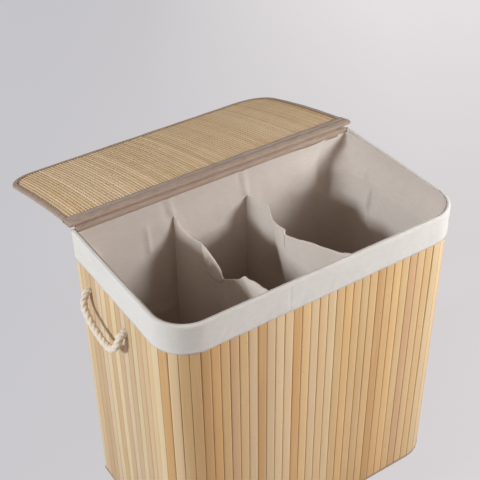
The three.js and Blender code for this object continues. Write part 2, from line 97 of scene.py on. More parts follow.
# The liner
CLOTH = 0.0008
CUFF_SEAM = (-0.076, 0.0016, 0.0007)  # its x, width and depth
CUFF_INSIDE = 0.010
CUFF_LEVELS = 15  # rows of points from the hem up to the fold
CUFF_COLUMNS = 420
CUFF_LOOSE = [(0.0009, (22, 22, 30), 1), (0.0004, (90, 90, 60), 2)]
CUFF_SHORT = 0.0005
HEM_WIDTH = 0.006
HEM_OUT = 0.0002
HEM_WAVE = (0.0007, (16, 16, 0), 3)
SCALLOP_LENGTH = 0.0052
SCALLOP_RISE = 0.0005
SCALLOP_OUT = 0.0003
BAG_TOP = RIM - 0.0015
BAG_TOP_IN = CUFF_IN + 0.0010  # its top lies just inside the cuff
BAG_BACK_DROP = 0.0040  # at the back it is sewn on lower, under the hinge tape's inner edge
BAG_DRAWN_IN = 0.0208
BAG_CLEAR = 0.0088
BAG_DRAW_TOP = 0.012
BAG_DRAW_BOTTOM = 0.076
BAG_SWELL_OUT = 0.0006  # it swells and creases inwards, and hardly out
BAG_OUT_MOST = 0.0008
BAG_SWELL = [(0.0035, (7, 7, 5), 5), (0.0016, (18, 18, 9), 6), (0.0006, (60, 60, 25), 7)]
BACK_ROUND_TOP = 0.006
BACK_ROUND_DEEP = (0.06, 0.03)  # low down, at the right and the left back corner
BAG_LEVELS = [(BAG_TOP, 0.44, 40), (0.44, 0.30, 16), (0.30, BAG_FLOOR, 20)]  # its rows of points
BAG_LOOSE_FROM = RIM - 0.006
BAG_LOOSE_OVER = 0.05
FLOOR_CENTRE_Y = -0.002
FLOOR_RINGS = (0.97, 0.8, 0.6, 0.4, 0.2, 0.0)
FLOOR_WAVE = (0.0015, (15, 15, 0), 8)

# The lid
LID_MIDDLE_X = (lid_low.x + lid_high.x) / 2
LID_HALF = (lid_high.x - lid_low.x) / 2
LID_LENGTH = 0.321
LID_RADIUS = 0.062
LID_MAT = 0.0026
LID_SLAT_PITCH = 0.0062
LID_SLAT_GAP = 0.0005
LID_SLAT_ROUND = 0.0006
LID_SLAT_CROWN = 0.0001
LID_SLAT_SWAY = 0.0002
LID_SLAT_LIFT = 0.0003
LID_SLAT_LEVELS = 12
LID_SLAT_INSET = 0.0016
LID_CORE_INSET = 0.002
LID_CORE = 0.0006
LID_CORE_ROWS = 14
LID_CORE_COLUMNS = 60
LID_TAPE = 0.0008
LID_TAPE_OUT = 0.0016  # how far the tapes stand over the slats' faces
LID_TAPE_START = 0.0305
LID_TAPE_WIDTH = 0.0095
LID_TAPE_ROUND = 0.0022
LID_TAPE_PUFF = 0.0002
LID_TAPE_LOOSE = 0.0005
LID_TAPE_MITRE = 0.0003  # cuts the inner corners of a folded tape's section
LID_BAND = 0.031
LID_BAND_ROUND = 0.0026
LID_BAND_LOOSE = 0.0009
LID_BAND_TOP = [  # the wide tape's two lengthwise folds, as (u, height) pairs, with its stitching between
    (LID_BAND, 0), (LID_BAND - 0.001, 0.0006), (0.025, 0.0008), (0.0175, 0.0009), (0.0165, 0.0001),
    (0.0155, 0.0011), (0.010, 0.0013), (0.005, 0.0009),
]
LID_ARCH = 0.006
LID_ROOT_ANGLE = radians(10.6)
LID_ROOT_BACK = 0.003
LID_ROOT_UP = 0.005
LID_BEND = LID_LENGTH ** 2 / (8 * LID_ARCH)

# The hinge
HINGE_COLUMNS = 130
HINGE_TAPE_IN = 0.0006
HINGE_TAPE_DROP = 0.0090
FLAP = 0.0006
FLAP_SHORT = 0.001

# The rope handles
ROPE = 0.0125
ROPE_HEIGHT = 0.498
ROPE_MIDDLE_Y = 0.054
ROPE_STRAND_OFFSET = 0.0020
ROPE_LAY = 0.038
ROPE_YARN = 0.00016
ROPE_FUZZ = 0.0002
ROPE_GROOVE_SHADE = (0.0056, 0.0016)  # painted shade in the grooves between strands starts where the outline is below this radius, and is full this far in
ROPE_RINGS = 220
ROPE_SIDES = 42
ROPE_INSIDE = 0.001
ROPE_END_UP = 0.0005
ROPE_FULL = 1.07  # how much fuller the fuzzy rope looks than its laid diameter
ROPE_ROUTE = [  # out from the slats, along the wall from the middle, down from the holes
    (0.0066, 0.063, 0), (0.0102, 0.0628, 0.006), (0.0138, 0.0616, 0.0135),
    (0.0166, 0.0575, 0.0215), (0.0184, 0.049, 0.029), (0.0195, 0.035, 0.035),
    (0.0202, 0.018, 0.0413), (0.0206, 0, 0.0445), (0.0208, -0.017, 0.0460),
    (0.0208, -0.033, 0.0450), (0.0202, -0.046, 0.0400), (0.0188, -0.0555, 0.0317),
    (0.0164, -0.0606, 0.022), (0.0136, -0.0624, 0.0135), (0.0102, -0.063, 0.006),
    (0.0066, -0.063, 0),
]

# The floor, with painted shade and light in its tone: darker on the left, lighter to the right and away from
# the camera
FLOOR_HALF = 8.0
FLOOR_GLOW = 0.9  # how much of its light and shade the camera doesn't see
FLOOR_SHADED_LEFT = "CBCACE"
FLOOR_LIT_RIGHT = "D9D5D6"
FLOOR_LIT_FAR = "EBE8EA"
FLOOR_ACROSS = (-0.7, 0.5)
FLOOR_FAR_ACROSS = (-0.4, 0.5)
FLOOR_FAR_AWAY = (0.7, 2.2)
PICTURE_ACROSS = (0.84, 0.55)  # the picture's way across is this much of +X and this much of -Y

# The lights, as (name, place, place it faces, side, power, colour), and what surrounds them
LIGHTS = [
    ("left_box", (-2.27, 0.24, 1.40), (-0.2, 0, 0.45), 0.35, 47, (0.84, 0.93, 1.0)),
    ("right_box", (0.96, -0.96, 1.15), (-0.05, 0.05, 0.42), 0.45, 22.5, (0.90, 0.95, 1.0)),
]
AMBIENT_COLOUR = (1.0, 0.80, 0.69, 1)
AMBIENT_STRENGTH = 0.28
BACKDROP = "D5D3D6"


# Meshes

def link(name, data):
    made = bpy.data.objects.new(name, data)
    bpy.context.scene.collection.objects.link(made)
    return made


def new_piece(name, points, faces, material, merge=True, **values):
    """A smooth piece with its faces turned outwards. Each of values is an attribute of its points:
    one number or one colour for each."""
    mesh = bpy.data.meshes.new(name)
    mesh.from_pydata([tuple(map(float, p)) for p in points], [], faces)
    mesh.materials.append(material)
    for key, numbers in values.items():
        numbers = np.array(numbers, np.float32)
        if numbers.ndim == 1:
            mesh.attributes.new(key, "FLOAT", "POINT").data.foreach_set("value", numbers)
        else:
            colours = mesh.color_attributes.new(key, "FLOAT_COLOR", "POINT")
            colours.data.foreach_set("color", numbers.ravel())
    bm = bmesh.new()
    bm.from_mesh(mesh)
    if merge:
        bmesh.ops.remove_doubles(bm, verts=bm.verts, dist=1e-6)
    bmesh.ops.recalc_face_normals(bm, faces=bm.faces)
    bm.to_mesh(mesh)
    bm.free()
    mesh.shade_smooth()
    return link(name, mesh)


def finish_piece(piece, body, slot, *nodes):
    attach(piece, body)
    if nodes:
        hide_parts(*nodes)


def grid_faces(rows, columns, looped, first=0):
    """The faces of a grid of points, whose rows may be loops, and whose first point has this number."""
    faces = []
    for i in range(rows - 1):
        low, high = first + i * columns, first + (i + 1) * columns
        for j in range(columns if looped else columns - 1):
            k = (j + 1) % columns
            faces.append((low + j, low + k, high + k, high + j))
    return faces


def ring_faces(count, sides, first=0):
    """The faces of a closed piece made of rings of points, with a flat face at each end."""
    last = first + (count - 1) * sides
    ends = [tuple(range(start, start + sides)) for start in (first, last)]
    return grid_faces(count, sides, True, first) + [ends[0], ends[1][::-1]]


def grid_of(place, rows, columns):
    """The points that place gives for each pair of a row's value and a column's."""
    return np.array([[place(row, column) for column in columns] for row in rows])


def grid_normals(grid, looped):
    """The way out of a grid of points of shape (rows, columns, 3)."""
    if looped:
        wrapped = np.concatenate([grid[:, -1:], grid, grid[:, :1]], axis=1)
        across = (wrapped[:, 2:] - wrapped[:, :-2])
    else:
        across = np.gradient(grid, axis=1)
    up = np.gradient(grid, axis=0)
    normals = np.cross(across, up)
    return normals / np.maximum(np.linalg.norm(normals, axis=2, keepdims=True), 1e-9)


def thick_sheet(name, grid, thickness, material, looped=False):
    """A closed sheet: the grid, and a second face behind it, joined round the edges. Its thickness is
    one number, or one for each point."""
    rows, columns = grid.shape[:2]
    behind = grid - grid_normals(grid, looped) * np.asarray(thickness)[..., None]
    points = np.concatenate([grid.reshape(-1, 3), behind.reshape(-1, 3)])
    size = rows * columns
    faces = grid_faces(rows, columns, looped)
    faces += [tuple(reversed(f)) for f in grid_faces(rows, columns, looped, size)]
    end = (rows - 1) * columns
    for j in range(columns if looped else columns - 1):
        k = (j + 1) % columns
        faces.append((j, size + j, size + k, k))
        faces.append((end + j, end + k, size + end + k, size + end + j))
    if not looped:
        for i in range(rows - 1):
            a, b = i * columns, (i + 1) * columns
            faces.append((a, b, size + b, size + a))
            a, b = a + columns - 1, b + columns - 1
            faces.append((a, size + a, size + b, b))
    return new_piece(name, points, faces, material)


def wander(*place):
    return noise.noise(Vector(place))


def ripple(points, scale, seed):
    """Smooth noise from -1 to 1 at points of any shape (..., 3)."""
    flat = points.reshape(-1, 3) * np.asarray(scale) + seed * 17.3
    return np.array([wander(*p) for p in flat]).reshape(points.shape[:-1])


def ripples(points, *waves):
    """The sum of ripples, each given as (size, scale, seed)."""
    return sum(size * ripple(points, scale, seed) for size, scale, seed in waves)


def smooth(t):
    """From 0 to 1 as t does, with a level start and end."""
    t = np.clip(t, 0, 1)
    return t * t * (3 - 2 * t)


def bump_along(u, v, line, width):
    """How near each (u, v) is to a line of points: 1 on it, falling to 0 over its width."""
    nearest = np.full(np.shape(u), 1e9)
    for (u0, v0), (u1, v1) in zip(line[:-1], line[1:]):
        du, dv = u1 - u0, v1 - v0
        t = np.clip(((u - u0) * du + (v - v0) * dv) / (du * du + dv * dv), 0, 1)
        nearest = np.minimum(nearest, np.hypot(u - u0 - t * du, v - v0 - t * dv))
    return np.exp(-((nearest / width) ** 2))


SPLINE_STEPS = 24  # between two of its points, before they are spaced out evenly


def spline(points, count):
    """A smooth line through points, at even steps along it."""
    points = np.asarray(points, float)
    padded = np.vstack([2 * points[0] - points[1], points, 2 * points[-1] - points[-2]])
    t = np.linspace(0, 1, SPLINE_STEPS, endpoint=False)[:, None]
    spans = []
    for p0, p1, p2, p3 in zip(padded, padded[1:], padded[2:], padded[3:]):
        square, cube = 2 * p0 - 5 * p1 + 4 * p2 - p3, 3 * (p1 - p2) + p3 - p0
        spans.append(p1 + ((p2 - p0) * t + square * t ** 2 + cube * t ** 3) / 2)
    fine = np.vstack([*spans, points[-1]])
    along = np.concatenate([[0], np.cumsum(np.linalg.norm(np.diff(fine, axis=0), axis=1))])
    even = np.linspace(0, along[-1], count)
    return np.stack([np.interp(even, along, fine[:, k]) for k in range(fine.shape[1])], axis=1)


def linear(hex_colour):
    """The linear values of a colour that is written as a screen shows it."""
    parts = [int(hex_colour[i:i + 2], 16) / 255 for i in (0, 2, 4)]
    return [p / 12.92 if p <= 0.04045 else ((p + 0.055) / 1.055) ** 2.4 for p in parts] + [1.0]


# Materials

SPECK_COLOUR = "7A5630"
# painted shade in the rope's grooves between strands
GROOVE_SHADE_COLOUR = "8F6F4E"
# painted shade: the cut faces deep inside the rope holes get this dark colour
HOLE_SHADE_COLOUR = "3A2818"


class Shader:
    """A material's nodes, added one at a time."""

    def __init__(self, name):
        self.material = bpy.data.materials.new(name)
        self.material.use_nodes = True
        self.tree = self.material.node_tree
        self.bsdf = self.tree.nodes["Principled BSDF"]

    def add(self, kind, inputs=None, **settings):
        node = self.tree.nodes.new(kind)
        for key, value in settings.items():
            setattr(node, key, value)
        for key, value in (inputs or {}).items():
            self.put(node.inputs[key], value)
        return node.outputs[0]

    def put(self, socket, value):
        if isinstance(value, bpy.types.NodeSocket):
            self.tree.links.new(value, socket)
        else:
            socket.default_value = value

    def set(self, **values):
        for key, value in values.items():
            self.put(self.bsdf.inputs[key.replace("_", " ")], value)

    def math(self, operation, a, b=0.0):
        return self.add("ShaderNodeMath", {0: a, 1: b}, operation=operation)

    def times(self, a, b):
        return self.math("MULTIPLY", a, b)

    def place(self, scale):
        coordinates = self.tree.nodes.new("ShaderNodeTexCoord").outputs["Object"]
        return self.add("ShaderNodeMapping", {"Vector": coordinates, "Scale": scale})

    def axes(self):
        parts = self.tree.nodes.new("ShaderNodeSeparateXYZ")
        self.put(parts.inputs[0], self.place([1.0, 1.0, 1.0]))
        return parts.outputs

    def noise(self, scale, detail=3.0, rough=0.55):
        """Noise whose scale is one number, or one for each axis."""
        place = self.place(scale if isinstance(scale, list) else [scale] * 3)
        settings = {"Vector": place, "Scale": 1.0, "Detail": detail, "Roughness": rough}
        return self.add("ShaderNodeTexNoise", settings)

    def ramp(self, value, low, high, out_low=0.0, out_high=1.0):
        return self.add(
            "ShaderNodeMapRange",
            {"Value": value, "From Min": low, "From Max": high, "To Min": out_low, "To Max": out_high},
        )

    def mix(self, share, a, b, blend="MIX"):
        node = self.tree.nodes.new("ShaderNodeMix")
        node.data_type = "RGBA"
        node.blend_type = blend
        self.put(node.inputs[0], share)
        self.put(node.inputs[6], a)
        self.put(node.inputs[7], b)
        return node.outputs[2]

    def stain(self, tone, pattern, start, full, share, colour, blend="MIX"):
        """Lay a colour over a tone: none where a pattern is at start, and this share where it is full."""
        return self.mix(self.ramp(pattern, start, full, 0.0, share), tone, linear(colour), blend)

    def attribute(self, name):
        return self.add("ShaderNodeAttribute", attribute_name=name)

    def bump(self, height, strength, distance):
        self.put(self.bsdf.inputs["Normal"], self.add(
            "ShaderNodeBump", {"Height": height, "Strength": strength, "Distance": distance},
        ))


def bamboo(name, across, along, streak, pale):
    """Bamboo strips: fine grain along them over each strip's own tint, with faint cloudy patches
    and a few dark specks."""
    shader = Shader(name)
    grain = shader.noise([across, across, along], 4.0, 0.65)
    broad = shader.noise([across / 6, across / 6, along / 3], 2.0)
    patches = shader.noise([16.0, 16.0, 6.0], 2.0)
    specks = shader.noise([330.0, 330.0, 190.0], 1.0)
    tone = shader.stain(shader.attribute("tint"), grain, 0.5, 0.8, 0.22, streak)
    tone = shader.stain(tone, broad, 0.5, 0.75, 0.25, pale)
    tone = shader.stain(tone, patches, 0.5, 0.8, 0.15, streak)
    tone = shader.stain(tone, specks, 0.74, 0.80, 0.5, SPECK_COLOUR)
    roughness = shader.ramp(grain, 0.2, 0.8, 0.42, 0.6)
    shader.set(Base_Color=tone, Roughness=roughness, Specular_IOR_Level=0.45)
    shader.bump(grain, 0.2, 0.0004)
    return shader.material


def woven(name, colour, shade, thread, bump=0.35, slub=0.25):
    """Plain woven cloth: threads both ways, with slubs and a cloudy shade."""
    shader = Shader(name)
    x, y, z = shader.axes()
    turn = 2 * pi / thread
    weft = shader.math("SINE", shader.times(z, turn))
    warp = shader.math("SINE", shader.times(shader.math("ADD", x, y), turn))
    threads = shader.math("ADD", shader.times(weft, warp), 1.0)
    slubs = shader.noise([60.0, 60.0, 900.0], 2.0)
    clouds = shader.noise(9.0, 3.0)
    tone = shader.stain(linear(colour), clouds, 0.3, 0.75, 0.6, shade)
    tone = shader.stain(tone, slubs, 0.45, 0.8, slub, shade, "MULTIPLY")
    shader.set(Base_Color=tone, Roughness=0.92, Specular_IOR_Level=0.2, Sheen_Weight=0.15)
    threads = shader.times(threads, 0.4)
    shader.bump(shader.math("ADD", threads, shader.times(slubs, 0.8)), bump, 0.0004)
    return shader.material


def twisted(name, colour, blotch_colour):
    """Rope: fibres, darker blotches, and painted shade in the grooves between its strands."""
    shader = Shader(name)
    fibres = shader.noise(700.0, 4.0, 0.7)
    blotches = shader.noise(90.0, 2.0)
    # darker blotches at random
    tone = shader.stain(linear(colour), blotches, 0.45, 0.75, 0.45, blotch_colour)
    # painted shade in the grooves between strands
    tone = shader.mix(shader.attribute("groove"), tone, linear(GROOVE_SHADE_COLOUR))
    shader.set(Base_Color=tone, Roughness=0.95, Sheen_Weight=0.2)
    shader.bump(fibres, 0.6, 0.0007)
    return shader.material


def plain(name, colour, shade, roughness, metallic=0.0):
    shader = Shader(name)
    specks = shader.noise(260.0)
    tone = shader.stain(linear(colour), specks, 0.4, 0.7, 0.5, shade)
    shader.set(Base_Color=tone, Roughness=roughness, Metallic=metallic)
    shader.bump(specks, 0.1, 0.0003)
    return shader.material


bamboo_wall = bamboo("bamboo_wall", 520.0, 9.0, "BE915A", "E2C8A0")
bamboo_lid = bamboo("bamboo_lid", 260.0, 260.0, "C9A673", "F2DCB8")
outer_cloth = woven("outer_cloth", "D8D3CC", "CDC7BF", 0.0011)
# painted shade: the liner's inside is the same cloth as its outside, painted darker and warmer for the shade
# inside the bins
shaded_inner_cloth = woven("shaded_inner_cloth", "D6CAC0", "CBBFB4", 0.0011)
tape_cloth = woven("tape_cloth", "B39C8A", "9C8474", 0.0009, 0.5, 0.35)
# partly painted shade: a real cloth behind the strips, painted dark brown for the shade in the gaps between
# strips and round the rope holes
shaded_backing_cloth = woven("shaded_backing_cloth", "7A6048", "5E4936", 0.0012)
rope_cotton = twisted("rope_cotton", "E0D2C0", "C9B69E")
wire_steel = plain("wire_steel", "9A9C9F", "7E8083", 0.4, 1.0)
board_fibre = plain("board_fibre", "B5A68E", "9C8D76", 0.9)


# The plan of the walls, from the left back corner round the front to the right back corner

SIDE_RUN = 2 * HALF_DEPTH - FRONT_RADIUS
ARC_RUN = pi / 2 * FRONT_RADIUS
FRONT_RUN = 2 * (HALF_WIDTH - FRONT_RADIUS)
PLAN_LENGTH = 2 * (SIDE_RUN + ARC_RUN) + FRONT_RUN
FRONT_START = SIDE_RUN + ARC_RUN
WALL_PARTS = ["left", "corner_left", "front", "corner_right", "right"]


def plan(s):
    """The point of the walls' outer face at a length along it, and the way inwards there."""
    left = s <= PLAN_LENGTH / 2
    s = min(s, PLAN_LENGTH - s)
    if s <= SIDE_RUN:
        point, inward = Vector((-HALF_WIDTH, HALF_DEPTH - s)), Vector((1, 0))
    elif s <= FRONT_START:
        angle = (s - SIDE_RUN) / FRONT_RADIUS
        inward = Vector((cos(angle), sin(angle)))
        point = Vector((FRONT_RADIUS - HALF_WIDTH, FRONT_RADIUS - HALF_DEPTH)) - FRONT_RADIUS * inward
    else:
        point, inward = Vector((FRONT_RADIUS - HALF_WIDTH + s - FRONT_START, -HALF_DEPTH)), Vector((0, 1))
    if not left:
        point.x, inward.x = -point.x, -inward.x
    return point, inward


# Slats

FRONT_TINTS = ["D9B687", "D7AF78", "DABB92", "DDC195", "D3AE7B", "CEA67B", "DAB682", "CB9F68"]
# painted sheen: the side walls' strips are the same bamboo as the front's, painted paler and greyer for the
# light and sheen on the sides
SIDE_SHEEN_TINTS = ["D2B690", "CFB086", "D0B695", "D5BD95", "CBAD85", "C7A880", "D2B489", "C4A379"]
# painted light: the lid's strips are painted paler and lighter than the walls', for the light and sheen on
# its top
LID_LIT_TINTS = ["EACEA8", "ECD1AC", "E5C89C", "E8CCA2", "EFD5B2", "E2C496"]
TINT_RANGE = 0.07  # how much lighter or darker than its tint a strip may be
SIDE_WAY = 0.97  # a wall faces the side, and takes the painted-sheen tints, where its way inwards is this much along X
BACK_NUMBER = 200  # the numbers that the strips of the back and of the lid start from
LID_NUMBER = 400
SHARP_ANGLE = radians(50)


def tint_of(tints, number):
    """The tint of a strip: one of a few, picked by its number, a little lighter or darker."""
    share = noise.cell(Vector((number * 1.37, 4.2, 0.5)))
    colour = linear(tints[int(share * 997) % len(tints)])
    level = 1 + TINT_RANGE * noise.cell(Vector((number * 2.71, 8.1, 3.3)))
    return [c * level for c in colour[:3]] + [1.0]


def wall_strip_profile(width):
    """A slat's section, as (across, out) pairs: its outer face crowned, its outer edges rounded."""
    half, edge, bit = width / 2, SLAT_ROUND, 0.3 * SLAT_ROUND
    right = [(half / 2, SLAT_CROWN * 0.75), (half - edge, 0), (half - bit, -bit), (half, -edge)]
    right.append((half, -SLAT_THICK))
    return [(-across, out) for across, out in right[::-1]] + [(0, SLAT_CROWN)] + right


def strips_mesh(name, strips, material):
    """One mesh of many closed strips; a strip is (rings of points, tint)."""
    points, faces, tints = [], [], []
    for rings, tint in strips:
        faces += ring_faces(len(rings), len(rings[0]), len(points))
        for ring in rings:
            points += ring
            tints += [tint] * len(ring)
    piece = new_piece(name, points, faces, material, merge=False, tint=tints)
    piece.data.set_sharp_from_angle(angle=SHARP_ANGLE)
    return piece


def wall_strip(point, inward, width, number):
    """An upright slat of the walls, centred on a point of their outer face."""
    along = Vector((-inward.y, inward.x))
    profile = wall_strip_profile(width)
    rings = []
    for z in np.linspace(SLATS_BOTTOM, SLATS_TOP, SLAT_LEVELS):
        sway = SLAT_WANDER * wander(number * 3.1, z * 5, 0)
        proud = SLAT_WANDER * wander(number * 3.1, z * 3, 9)
        ring = []
        for across, out in profile:
            at = point + along * (across + sway) - inward * (out + proud)
            ring.append((at.x, at.y, z))
        rings.append(ring)
    return rings, tint_of(SIDE_SHEEN_TINTS if abs(inward.x) > SIDE_WAY else FRONT_TINTS, number)


def wall_strips(locate, length, line, first_number):
    """Slats from one end of a wall to the other, with a seam on a line; locate gives the point and
    the way inwards."""
    strips = []
    start = line - SLAT_PITCH * ceil(line / SLAT_PITCH)
    seams = np.arange(start, length + SLAT_PITCH, SLAT_PITCH)
    seams = [0.0] + [s for s in seams if SLAT_PITCH / 2 < s < length - SLAT_PITCH / 2] + [length]
    for number, (a, b) in enumerate(zip(seams[:-1], seams[1:])):
        point, inward = locate((a + b) / 2)
        strips.append(wall_strip(point, inward, b - a - SLAT_GAP, first_number + number))
    return strips


def set_in(station, inset, z):
    """The place at a height that lies this far in from a station of the plan."""
    point, inward = station
    return point.x + inward.x * inset, point.y + inward.y * inset, z


def back_plan(s):
    return Vector((HALF_WIDTH - MAT - s, HALF_DEPTH)), Vector((0, -1))


def cut_rope_holes(piece, radius):
    """Rope holes through the side walls, cut with rods."""
    bm = bmesh.new()
    for side in (-1, 1):
        for end in (-1, 1):
            y = ROPE_MIDDLE_Y + end * ROPE_ROUTE[0][1]
            place = Matrix.Translation((side * HALF_WIDTH, y, ROPE_HEIGHT))
            turn = Matrix.Rotation(pi / 2, 4, "Y")
            bmesh.ops.create_cone(
                bm, cap_ends=True, segments=HOLE_SIDES, radius1=radius, radius2=radius,
                depth=10 * MAT, matrix=place @ turn,
            )
    mesh = bpy.data.meshes.new("rope_holes")
    bm.to_mesh(mesh)
    bm.free()
    rods = link("rope_holes", mesh)
    cut = piece.modifiers.new("rope_holes", "BOOLEAN")
    cut.operation = "DIFFERENCE"
    cut.solver = "EXACT"
    cut.object = rods
    apply_modifiers(piece)
    bpy.data.objects.remove(rods)


def tint_holes(piece, before):
    """Give the points that the holes added the tint of their strip, or painted shade deep in the wall."""
    points = np.array([tuple(v.co) for v in before.vertices])
    tints = [tuple(t.color) for t in before.attributes["tint"].data]
    for vertex, tint in zip(piece.data.vertices, piece.data.attributes["tint"].data):
        if min(tint.color) > 0.999:
            away = np.hypot(points[:, 0] - vertex.co.x, points[:, 1] - vertex.co.y)
            deep = HALF_WIDTH - abs(vertex.co.x) > SLAT_THICK / 2
            tint.color = linear(HOLE_SHADE_COLOUR) if deep else tints[int(np.argmin(away))]
    bpy.data.meshes.remove(before)


def apply_modifiers(piece):
    graph = bpy.context.evaluated_depsgraph_get()
    made = bpy.data.meshes.new_from_object(piece.evaluated_get(graph))
    old = piece.data
    piece.modifiers.clear()
    piece.data = made
    bpy.data.meshes.remove(old)


def build_walls():
    line = FRONT_START + SLAT_LINE_X + HALF_WIDTH - FRONT_RADIUS
    walls = strips_mesh("slat_walls", wall_strips(plan, PLAN_LENGTH, line, 0), bamboo_wall)
    uncut = walls.data.copy()
    cut_rope_holes(walls, HOLE_RADIUS)
    tint_holes(walls, uncut)
    finish_piece(walls, "hamper", "slats", *[f"slats_{part}" for part in WALL_PARTS])
    back_strips = wall_strips(back_plan, 2 * (HALF_WIDTH - MAT), 0.0, BACK_NUMBER)
    back = strips_mesh("slat_back", back_strips, bamboo_wall)
    finish_piece(back, "hamper", "slats", "slats_back")

    heights = (SLATS_BOTTOM + MAT, SLATS_TOP - MAT)
    stations = [plan(s) for s in np.linspace(0, PLAN_LENGTH, BACKING_COLUMNS)]
    grid = grid_of(lambda z, station: set_in(station, SLAT_THICK, z), heights, stations)
    backing = thick_sheet("wall_backing", grid, BACKING_THICK, shaded_backing_cloth)
    cut_rope_holes(backing, BACKING_HOLE_RADIUS)
    finish_piece(backing, "hamper", "tape")
    ends = (HALF_WIDTH - MAT, MAT - HALF_WIDTH)
    grid = grid_of(lambda z, x: (x, HALF_DEPTH - SLAT_THICK, z), heights, ends)
    back_cloth = thick_sheet("back_backing", grid, BACKING_THICK, shaded_backing_cloth)
    finish_piece(back_cloth, "hamper", "tape")


# The liner's cuff: from its hem outside, up over the rim and a little way down inside

def build_cuff():
    lengths = np.linspace(CUFF_SHORT, PLAN_LENGTH - CUFF_SHORT, CUFF_COLUMNS)
    stations = [plan(s) for s in lengths]
    middle = (CUFF_IN - CUFF_OUT) / 2
    reach = (CUFF_IN + CUFF_OUT) / 2
    fold = RIM - reach
    profile = [(-CUFF_OUT - HEM_OUT, z) for z in np.linspace(CUFF_HEM, fold, CUFF_LEVELS)]
    for angle in np.linspace(0, pi, 11)[1:]:
        profile.append((middle - reach * cos(angle), fold + reach * sin(angle)))
    profile += [(CUFF_IN, z) for z in np.linspace(fold, RIM - CUFF_INSIDE, 4)[1:]]
    grid = grid_of(lambda at, station: set_in(station, *at), profile, stations)
    row = np.arange(len(profile))[:, None]
    outside = 1.0 * (row < CUFF_LEVELS)
    depth = smooth((RIM - grid[..., 2]) / (RIM - CUFF_HEM))
    # the cloth lies a little loose, most of all near its hem
    way = np.array([(n.x, n.y, 0) for _, n in stations])[None]
    loose = ripples(grid, *CUFF_LOOSE) * outside * (0.35 + 0.65 * depth)
    hem = np.exp(-(((grid[..., 2] - CUFF_HEM) / HEM_WIDTH) ** 2)) * outside
    scallop = np.sin(2 * np.pi * lengths / SCALLOP_LENGTH)[None]
    grid -= way * (loose + SCALLOP_OUT * hem * scallop)[..., None]
    # the hem's stitching draws its two lowest rows up in small scallops
    rise = np.maximum(1 - row / 2, 0)
    grid[..., 2] += rise * (SCALLOP_RISE * scallop + ripples(grid, HEM_WAVE))
    # an upright seam near the middle of the front
    seam_x, seam_width, seam_depth = CUFF_SEAM
    seam = np.exp(-(((grid[..., 0] - seam_x) / seam_width) ** 2)) * (grid[..., 1] < 0) * outside
    grid += way * (seam_depth * seam)[..., None]
    cuff = thick_sheet("liner_cuff", grid, CLOTH, outer_cloth)
    finish_piece(cuff, "liner", "cloth", *[f"cuff_{part}" for part in WALL_PARTS])


# The liner's bag: one loop of cloth, drawn in at the sides, with creases and folds

def bag_loop(z):
    """The bag's plan at a height, from the left front corner round to the right, with the way
    inwards at each point."""
    share = smooth((RIM - BAG_DRAW_TOP - z) / (BAG_DRAW_BOTTOM - BAG_DRAW_TOP))
    side = BAG_TOP_IN + (BAG_DRAWN_IN - BAG_TOP_IN) * share
    front = BAG_TOP_IN + (BAG_CLEAR - BAG_TOP_IN) * share
    x, y = HALF_WIDTH - side, HALF_DEPTH - front
    front_round = FRONT_RADIUS - (side + front) / 2
    right_round, left_round = [BACK_ROUND_TOP + (deep - BACK_ROUND_TOP) * share for deep in BACK_ROUND_DEEP]
    # each corner's centre, radius, first angle and steps, and the steps of the wall after it
    corners = [
        (front_round - x, front_round - y, front_round, pi, 14, 96),
        (x - front_round, front_round - y, front_round, 1.5 * pi, 14, 76),
        (x - right_round, y - right_round, right_round, 0.0, 18, 132),
        (left_round - x, y - left_round, left_round, 0.5 * pi, 10, 76),
    ]
    arcs = []
    for cx, cy, radius, start, steps, _ in corners:
        angles = start + np.linspace(0, 1, steps) * pi / 2
        c, s = np.cos(angles), np.sin(angles)
        arcs.append(np.stack([cx + radius * c, cy + radius * s, -c, -s], axis=1))
    loop = []
    for arc, following, corner in zip(arcs, arcs[1:] + arcs[:1], corners):
        t = np.linspace(0, 1, corner[-1] + 1, endpoint=False)[1:, None]
        loop += [arc, arc[-1] + t * (following[0] - arc[-1])]
    return np.concatenate(loop)


# Creases, as (wall, depth inwards, width, line of (along, height) points)
CREASES = [
    ("back", 0.0045, 0.005, [(-0.116, 0.600), (-0.110, 0.585), (-0.105, 0.559), (-0.100, 0.500)]),
    ("back", -0.0025, 0.006, [(-0.124, 0.600), (-0.118, 0.580), (-0.116, 0.560)]),
    ("back", 0.0045, 0.005, [(0.044, 0.600), (0.047, 0.580), (0.050, 0.546), (0.052, 0.500)]),
    ("back", -0.0025, 0.006, [(0.036, 0.600), (0.039, 0.570)]),
    ("back", 0.0020, 0.004, [(-0.158, 0.552), (-0.157, 0.526), (-0.156, 0.500)]),
    ("back", 0.0030, 0.006, [(-0.262, 0.368), (-0.172, 0.362), (-0.100, 0.352)]),
    ("back", 0.0030, 0.006, [(-0.096, 0.356), (0.000, 0.345), (0.052, 0.342)]),
    ("back", 0.0090, 0.030, [(0.200, 0.600), (0.186, 0.560), (0.184, 0.510)]),
    ("back", -0.0110, 0.012, [(0.250, 0.598), (0.236, 0.575), (0.225, 0.544), (0.231, 0.505)]),
    ("right", 0.0050, 0.005, [(0.078, 0.545), (0.057, 0.523), (0.064, 0.473), (0.056, 0.439),
                              (0.036, 0.420)]),
    ("right", -0.0030, 0.008, [(0.066, 0.540), (0.044, 0.516), (0.050, 0.470), (0.040, 0.430)]),
    ("right", 0.0055, 0.006, [(0.146, 0.598), (0.128, 0.588), (0.120, 0.572)]),
    ("right", 0.0045, 0.005, [(0.140, 0.566), (0.120, 0.560)]),
]


